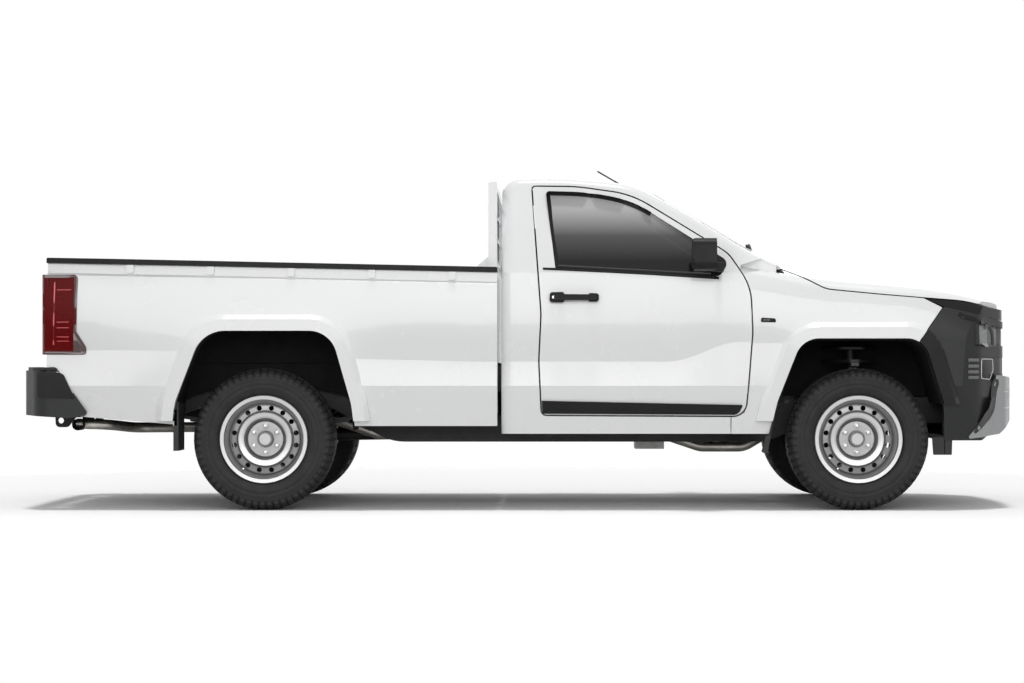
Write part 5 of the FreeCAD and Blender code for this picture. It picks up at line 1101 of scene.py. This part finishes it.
def corner_lamps():
    """Four fins and a five-sided framed lamp in each corner of the bumper."""
    fins = Shape()
    for z in (0.698, 0.728, 0.758, 0.79):
        fins.ribbon([(x, z) for x in (2.348, 2.37, 2.39, 2.411)], 0.016, nose_skin, 0.0045)
    fins.both("corner_fins", SILVER_DARK, "bumper_plastic")
    outline = rounded([(2.427, 0.694), (2.429, 0.796), (2.503, 0.796), (2.507, 0.738), (2.484, 0.687)], 0.006,
                      3)
    Shape().patch(outline, nose_skin, 0.003).both("corner_lamp_panel", GLOSS_BLACK, "lamp_clear")
    edge = Shape().ribbon(outline, 0.0065, nose_skin, 0.0055, closed=True)
    edge.both("corner_lamp_frame", WHITE_TRIM, "trim_silver")


def nose_bands():
    """The darker flare on the bumper, the strip of painted shade on the lower bar's rear part, its ribs and
    the tow covers.
    """
    flare = copied_faces("front_bumper", lambda c, n: c.x < 2.27 and abs(c.y) > 0.9125 and n.y * c.y > 0,
                         0.0008)
    flare.done("bumper_flares", TRIM, "bumper_plastic")
    steps = 5
    path = curve_through([(x, z) for x, z, width in BAR_SHADE_STRIP], steps)
    widths = [width for x, z, width in BAR_SHADE_STRIP] + [BAR_SHADE_STRIP[-1][2]]
    spread = []
    for i in range(len(path)):
        first = widths[i // steps]
        spread.append(first + (widths[i // steps + 1] - first) * (i % steps) / steps)
    # the strip is painted shade on the bar's rear part
    Shape().ribbon(path, spread, bar_skin, 0.0016).both("lower_bar_painted_shade", BAR_SHADE, "bumper_plastic")
    ribs = Shape()
    for z in (0.622, 0.536):
        line = curve_through([(y, z) for y in (-0.7, -0.62, -0.5, -0.3, 0.0, 0.3, 0.5, 0.62, 0.7)], 3)
        ribs.ribbon(line, 0.005, bar_skin, 0.0012, on_front)
    ribs.done("lower_bar_ribs", WHITE_TRIM, "trim_silver")
    covers = Shape()
    for y in (-0.6, 0.6):
        outline = rect(y - 0.03, y + 0.03, 0.585, 0.645)
        covers.plate(outline, 0.008, 3, lambda a, b, d: on_front(bar_skin, a, b, d), -0.004, 0.0014, 0.001)
    covers.done("tow_covers", SILVER, "trim_silver")


def air_dam():
    """The black air dam below each end of the bumper."""
    outline = moved(FRONT_AXLE_X, (0.399, 0.29), (0.392, 0.384), (0.5, 0.384), (0.497, 0.29))
    dam = Shape().plate(outline, 0.004, 2, side_place, -0.842, -0.836, 0.001)
    dam.plate(rect(2.226, 2.232, 0.29, 0.384), 0.001, 1, side_place, -0.842, -0.7, 0.001)
    dam.both("air_dam", FLAP, "flap_rubber")


nose_lamps()
corner_lamps()
nose_bands()
air_dam()


# Bed: tail lamps, tailgate fittings and rear bumper panels

tail_skin = skin_of("tail_lamps")
rear_skin = skin_of("rear_bumper")
gate_skin = skin_of("tailgate")
TAIL_BEZEL = (
    (-2.515, 1.231), (-2.4, 1.231), (-2.3525, 1.229), (-2.351, 1.1), (-2.353, 0.94), (-2.34, 0.915),
    (-2.303, 0.858), (-2.3, 0.83), (-2.33, 0.828), (-2.42, 0.828), (-2.515, 0.828),
)


def lamp_outward(c, n):
    """True for a face of a tail lamp that looks back or to its own side."""
    return n.x < -0.4 or n.y * math.copysign(1, c.y) > 0.4


def tail_lamps():
    """Red lenses over lit chambers, with a dark bezel and a pale light guide."""
    lens = copied_faces("tail_lamps", lambda c, n: True)
    lens.done("tail_lenses", RED_LENS, "lamp_red", stands_for=("tail_lamps",))
    copied_faces("tail_lamps", lamp_outward, -0.008).done("tail_chambers", RED_INNER, "lamp_red")
    foot = [(-2.362, 0.836), (-2.362, 0.935), (-2.345, 0.915), (-2.308, 0.858), (-2.308, 0.836)]
    bezel = Shape().ribbon(TAIL_BEZEL, 0.017, tail_skin, 0.0016).patch(rounded(foot, 0.004, 2), tail_skin,
                                                                       0.0012)
    bezel.both("tail_bezel", RED_DARK, "lamp_red")
    guide = Shape().ribbon([(-2.468, 0.87), (-2.466, 1.0), (-2.464, 1.13), (-2.463, 1.2)], 0.007, tail_skin,
                           0.0012)
    for end_x, z in ((-2.385, 0.89), (-2.385, 0.912), (-2.385, 0.96), (-2.385, 0.99), (-2.375, 1.16)):
        guide.ribbon([(-2.45, z), ((-2.45 + end_x) / 2, z), (end_x, z)], 0.0035, tail_skin, 0.0008)
    guide.both("tail_guide", RED_BRIGHT, "lamp_red")
    for name, low, mat, slot in (
        ("reversing_lamp", 0.98, WHITE_TRIM, "lamp_clear"), ("rear_indicator", 1.07, AMBER, "lamp_red"),
    ):
        outline = rect(-0.856, -0.795, low, low + 0.07)
        lamp = Shape().plate(outline, 0.008, 4, front_place, BED_REAR_X - 0.0235, BED_REAR_X - 0.02, 0.001)
        lamp.both(name, mat, slot)


def bed_details():
    """The tailgate's handle plate, the bumper's side panels, plate lamps, reflectors and bed bolts."""
    outline = [(-0.086, 1.216), (-0.082, 1.243), (0.082, 1.243), (0.086, 1.216)]
    handle = Shape().plate(outline, 0.008, 4, lambda a, b, d: on_rear(gate_skin, a, b, d), -0.002, 0.004,
                           0.0015)
    handle.done("tailgate_handle", TRIM, "dark_trim", "tailgate")
    outline = [(-2.55, 0.728), (-2.441, 0.728), (-2.411, 0.714), (-2.352, 0.588), (-2.55, 0.595)]
    panel = Shape().plate(outline, 0.012, 4, side_place, -0.8995, -0.88, 0.0025)
    panel.both("bumper_side_panel", GLOSS_BLACK, "bumper_plastic")
    edge = Shape().ribbon([(x, 0.742) for x in (-2.585, -2.54, -2.49, -2.455)], 0.02, rear_skin, 0.006,
                          on_bumper_end)
    edge.both("bumper_top_edge", BUMPER, "bumper_plastic")

    def on_bumper(a, b, d):
        return on_rear(rear_skin, a, b, d)

    lamps = Shape()
    for y in (-0.14, 0.14):
        lamps.plate(rect(y - 0.03, y + 0.03, 0.697, 0.711), 0.004, 3, on_bumper, -0.002, 0.007, 0.001)
    lamps.done("plate_lamps", PLATE_LAMP, "lamp_clear")
    reflector = Shape().plate(rect(-0.7, -0.58, 0.6, 0.632), 0.006, 3, on_bumper, -0.002, 0.004, 0.001)
    reflector.both("rear_reflector", RED_INNER, "lamp_red")
    bolts = Shape()
    for x in (-2.38, -1.9, -0.8, -0.22):
        for y in (-0.45, -0.15, 0.15, 0.45):
            profile = [(0.015, -0.002), (0.015, 0.002), (0.009, 0.0065), (0.0, 0.007)]
            bolts.lathe(profile, (x, y, BED_FLOOR_Z), (0, 0, 1), 16)
    bolts.done("bed_bolts", CHROME, "body_paint")


tail_lamps()
bed_details()


# Under the body and under the hood

WHEELHOUSE_LINER = (
    (-0.5, 0.56), (-0.5, 0.8), (-0.16, 0.8), (-0.14, 0.778), (0.17, 0.776), (0.19, 0.8), (0.5, 0.8),
    (0.5, 0.52), (0.4, 0.6), (0.0, 0.7), (-0.4, 0.61),
)
BRAKE_LINE_Y = -0.424


def coated(c, n):
    """True for a face of the tub that looks down or into a rear wheelhouse."""
    near = abs(c.x - REAR_AXLE_X) < 0.52 and 0.535 < abs(c.y) < 0.8 and c.z < 1.0
    to_wheel = n.z < -0.3 or n.y * c.y > 0.1 or n.x * (c.x - REAR_AXLE_X) < -0.02
    return (near and to_wheel) or (c.z < 0.795 and n.z < -0.3)


def arch_rim(c, n):
    """True for the inner rim of a rear wheel opening, behind its painted lip."""
    return abs(n.y) < 0.3 and abs(c.x - REAR_AXLE_X) < 0.5 and c.z < 0.95 and abs(c.y) < 0.9 and n.z < 0.4


def linings():
    """The coating of tub and arches, the rear wheelhouses' liners and the front wheels' inner aprons."""
    copied_faces("cargo_bed", coated, 0.0009).done("tub_underseal", UNDERSEAL, "frame_black")
    copied_faces("bed_sides", arch_rim, 0.0009).done("arch_underseal", UNDERSEAL, "frame_black")
    liner = Shape().prism(moved(REAR_AXLE_X, *WHEELHOUSE_LINER), side_place, -0.5415, -0.5385, 0.0008)
    for s, low in ((-1, 0.46), (1, 0.42)):
        points = [
            (0.47, low), (0.462, 0.56), (0.445, 0.66), (0.425, 0.74), (0.4, 0.8), (0.404, 0.803),
            (0.429, 0.743), (0.449, 0.662), (0.466, 0.561), (0.474, low),
        ]
        liner.prism([(REAR_AXLE_X + s * a, b) for a, b in points], side_place, -0.868, -0.54, 0.0008)
    liner.both("rear_wheel_liner", UNDERSEAL, "frame_black")
    outline = moved(FRONT_AXLE_X, (-0.36, 0.596), (-0.36, 0.8), (-0.28, 0.9), (0.34, 0.9), (0.42, 0.78),
                    (0.42, 0.596))
    apron = Shape().prism(outline, side_place, -0.433, -0.43, 0.0008)
    apron.both("inner_apron", UNDERSEAL, "frame_black")


def underbody():
    """Spring clamps, brake lines, the exhaust's outlet and the flaps' bolts."""
    clamps = Shape()
    for s in (-1, 1):
        for dx in (-0.062, 0.062):
            x = REAR_AXLE_X + dx
            for y in (s * 0.524, s * 0.596):
                clamps.tube([(x, y, AXLE_Z - 0.062), (x, y, AXLE_Z + 0.1)], 0.007, 10)
                clamps.lathe([(0.012, -0.008), (0.012, 0.004), (0.009, 0.006)], (x, y, AXLE_Z - 0.064),
                             (0, 0, -1), 6)
            clamps.tube([(x, s * 0.524, AXLE_Z + 0.097), (x, s * 0.596, AXLE_Z + 0.097)], 0.007, 10)
        clamps.box((REAR_AXLE_X - 0.085, s * 0.56 - 0.048, AXLE_Z - 0.062),
                   (REAR_AXLE_X + 0.085, s * 0.56 + 0.048, AXLE_Z - 0.05), 0.003)
    clamps.done("spring_clamps", CAST, "frame_black")
    route = ((-2.0, 0.6), (-1.75, 0.62), (-1.45, 0.66), (-1.1, 0.64), (-0.85, 0.5), (-0.6, 0.45), (0.4, 0.45))
    rail = curve_through([(x, BRAKE_LINE_Y, z) for x, z in route])
    axle = [
        (-1.36, -0.3, 0.425), (-1.36, -0.18, 0.47), (-1.3, -0.05, 0.535), (-1.36, 0.1, 0.53),
        (-1.36, 0.3, 0.425),
    ]
    lines = Shape().tube(rail, 0.004, 8).tube([p + Vector((0, 0, 0.014)) for p in rail], 0.004, 8)
    lines.tube(curve_through(axle), 0.005, 8).done("brake_lines", FLAP, "frame_black")
    profile = [(0.026, 0.02), (0.026, 0.078), (0.031, 0.082), (0.031, -0.02), (0.0, -0.02)]
    outlet = Shape().lathe(profile, (-2.38, -0.585, 0.446), (0, -1, 0), 28)
    outlet.box((-2.362, -0.63, 0.462), (-2.3, -0.6, 0.505), 0.004)
    outlet.done("exhaust_outlet", UNDERSEAL, "frame_black")
    bolts = Shape()
    for z in (0.44, 0.5):
        for y in (-0.86, -0.74):
            profile = [(0.011, 0.0), (0.011, 0.003), (0.006, 0.006), (0.0, 0.0065)]
            bolts.lathe(profile, (REAR_AXLE_X - 0.4545, y, z), (-1, 0, 0), 14)
    bolts.both("flap_bolts", CHROME, "frame_black")


def engine_bay():
    """What shows when the hood is up: engine cover, battery, air box, hoses, reservoir and radiator."""
    cover = Shape().plate([(1.54, -0.17), (1.54, 0.17), (2.0, 0.15), (2.0, -0.15)], 0.04, 5, top_place, 1.01,
                          1.056, 0.01)
    for y in (-0.1, -0.05, 0.0, 0.05, 0.1):
        cover.plate(rect(1.58, 1.96, y - 0.012, y + 0.012), 0.01, 3, top_place, 1.052, 1.064, 0.004)
    cover.done("engine_cover", CABIN, "cabin_plastic")
    battery = Shape().box((1.6, 0.6, 0.906), (1.85, 0.775, 1.07), 0.006)
    battery.box((1.595, 0.595, 1.066), (1.855, 0.78, 1.09), 0.004).done("battery", TRIM, "dark_trim")
    air = Shape().plate(rect(1.62, 1.9, -0.79, -0.56), 0.03, 4, top_place, 0.906, 1.04, 0.008)
    air.plate(rect(1.61, 1.91, -0.8, -0.55), 0.03, 4, top_place, 1.036, 1.085, 0.016)
    duct = curve_through([(1.72, -0.58, 1.02), (1.74, -0.47, 1.035), (1.8, -0.34, 1.0), (1.86, -0.22, 0.95)],
                         8)
    air.tube(duct, [0.036 + 0.003 * (i % 2) for i in range(25)], 18)
    air.done("air_box", CABIN, "cabin_plastic")
    hoses = Shape()
    for route in (
        [(1.98, 0.12, 0.96), (2.08, 0.14, 0.99), (2.17, 0.2, 0.97), (2.245, 0.24, 0.93)],
        [(1.98, -0.12, 0.74), (2.08, -0.16, 0.7), (2.17, -0.22, 0.68), (2.245, -0.26, 0.66)],
    ):
        hoses.tube(curve_through(route, 8), 0.021, 14)
    hoses.done("coolant_hoses", FLAP, "tank_plastic")
    bottle = Shape().plate(rect(1.44, 1.56, 0.56, 0.72), 0.03, 4, top_place, 0.93, 1.1, 0.02)
    bottle.lathe([(0.026, -0.005), (0.026, 0.018), (0.022, 0.022), (0.0, 0.023)], (1.5, 0.64, 1.1), (0, 0, 1),
                 24)
    bottle.done("coolant_bottle", WHITE_TRIM, "tank_plastic")
    radiator = Shape().box((2.245, -0.36, 0.562), (2.3, 0.36, 0.985), 0.006)
    radiator.plate([(2.235, -0.64), (2.235, 0.64), (2.335, 0.6), (2.335, -0.6)], 0.03, 4, top_place, 0.985,
                   1.004, 0.004)
    for i in range(26):
        z = 0.6 + i * 0.0145
        radiator.box((2.2995, -0.34, z), (2.3035, 0.34, z + 0.006), 0.001)
    radiator.done("radiator", FRAME_BLACK, "frame_black")


linings()
underbody()
engine_bay()


# Stage, light and camera

CAMERA_PLACE = Vector((0.162, -13.91, 0.72))
PIXEL_AT_NEAR_TYRE = 0.00525
NEAR_TYRE_DISTANCE = 13.0
PICTURE_WIDTH = 1024
SENSOR_MM = 36.0
HORIZON_FROM_MIDDLE = (41.0, 31.9)
WORLD_LOW = grey(0.14)
WORLD_MIDDLE = grey(0.42)
WORLD_TOP = grey(0.44)
WHITE = grey(1.0)
SUN_STRENGTH = 0.44
FLOOR_RADIUS = 5.0
FLOOR_BOUNCE = grey(0.54)
SOFT_BOXES = (
    ("right_box", (0.0, -9.0, 3.2), (73, 0, 0), (12.0, 4.0), 365.0),
    ("left_box", (0.0, 9.0, 5.0), (-62, 0, 0), (12.0, 4.0), 110.0),
    ("front_box", (10.0, 0.0, 5.0), (0, 64, 0), (4.0, 8.0), 50.0),
    ("rear_box", (-10.0, 0.0, 5.0), (0, -64, 0), (4.0, 8.0), 50.0),
)


def camera():
    """The photograph's viewpoint: level, at the side, with its centre shifted."""
    data = bpy.data.cameras.new("camera")
    data.sensor_width = SENSOR_MM
    data.lens = SENSOR_MM * NEAR_TYRE_DISTANCE / (PICTURE_WIDTH * PIXEL_AT_NEAR_TYRE)
    data.shift_x = -HORIZON_FROM_MIDDLE[0] / PICTURE_WIDTH
    data.shift_y = HORIZON_FROM_MIDDLE[1] / PICTURE_WIDTH
    data.clip_end = 200.0
    eye = linked("camera", data)
    eye.location = CAMERA_PLACE
    eye.rotation_euler = (math.pi / 2, 0, 0)
    bpy.context.scene.camera = eye


def seen_directly(tree):
    """1 for rays from the camera, off gloss or through glass, and 0 for the light that falls on things."""
    path = tree.nodes.new("ShaderNodeLightPath")
    seen = math_of(tree, "MAXIMUM", path.outputs["Is Camera Ray"], path.outputs["Is Glossy Ray"])
    return math_of(tree, "MAXIMUM", seen, path.outputs["Is Transmission Ray"])


def stage():
    """A pale floor that keeps the shadow, and a white surround whose light is softer near the ground."""
    world = bpy.data.worlds.new("studio")
    world.use_nodes = True
    bpy.context.scene.world = world
    tree = world.node_tree
    rise = between(tree, height_of(tree, coords_of(tree, "Generated")), 0.0, 1.0)
    stops = [(0.0, WORLD_LOW), (0.26, WORLD_LOW), (0.55, WORLD_MIDDLE), (0.8, WORLD_MIDDLE), (1.0, WORLD_TOP)]
    sky = mixed(tree, seen_directly(tree), ramp(tree, rise, stops), WHITE)
    fill(tree, tree.nodes["Background"], [("Color", sky)], [("Strength", 1.0)])
    rim = [(FLOOR_RADIUS * math.cos(t), FLOOR_RADIUS * math.sin(t), 0.0) for t in turns(96)]
    mesh = bpy.data.meshes.new("floor")
    mesh.from_pydata(rim, [], [tuple(range(len(rim)))])
    mat, tree, shader, _ = started("floor")
    shade = mixed(tree, seen_directly(tree), FLOOR_BOUNCE, WHITE)
    fill(tree, shader, [("Base Color", shade)], [("Roughness", 1.0), ("Specular IOR Level", 0.0)])
    mesh.materials.append(mat)
    linked("floor", mesh)


def lamps():
    """A soft overhead sun for the shadow and wide soft boxes for the sides."""
    sun = bpy.data.lights.new("overhead", "SUN")
    sun.energy = SUN_STRENGTH * math.pi
    sun.angle = math.radians(9)
    linked("overhead", sun).rotation_euler = (math.radians(2), 0, 0)
    for name, place, turn, size, power in SOFT_BOXES:
        data = bpy.data.lights.new(name, "AREA")
        data.shape = "RECTANGLE"
        data.size, data.size_y = size
        data.energy = power
        lamp = linked(name, data)
        lamp.location = place
        lamp.rotation_euler = [math.radians(a) for a in turn]


bpy.context.scene.view_settings.view_transform = "Standard"
camera()
stage()
lamps()
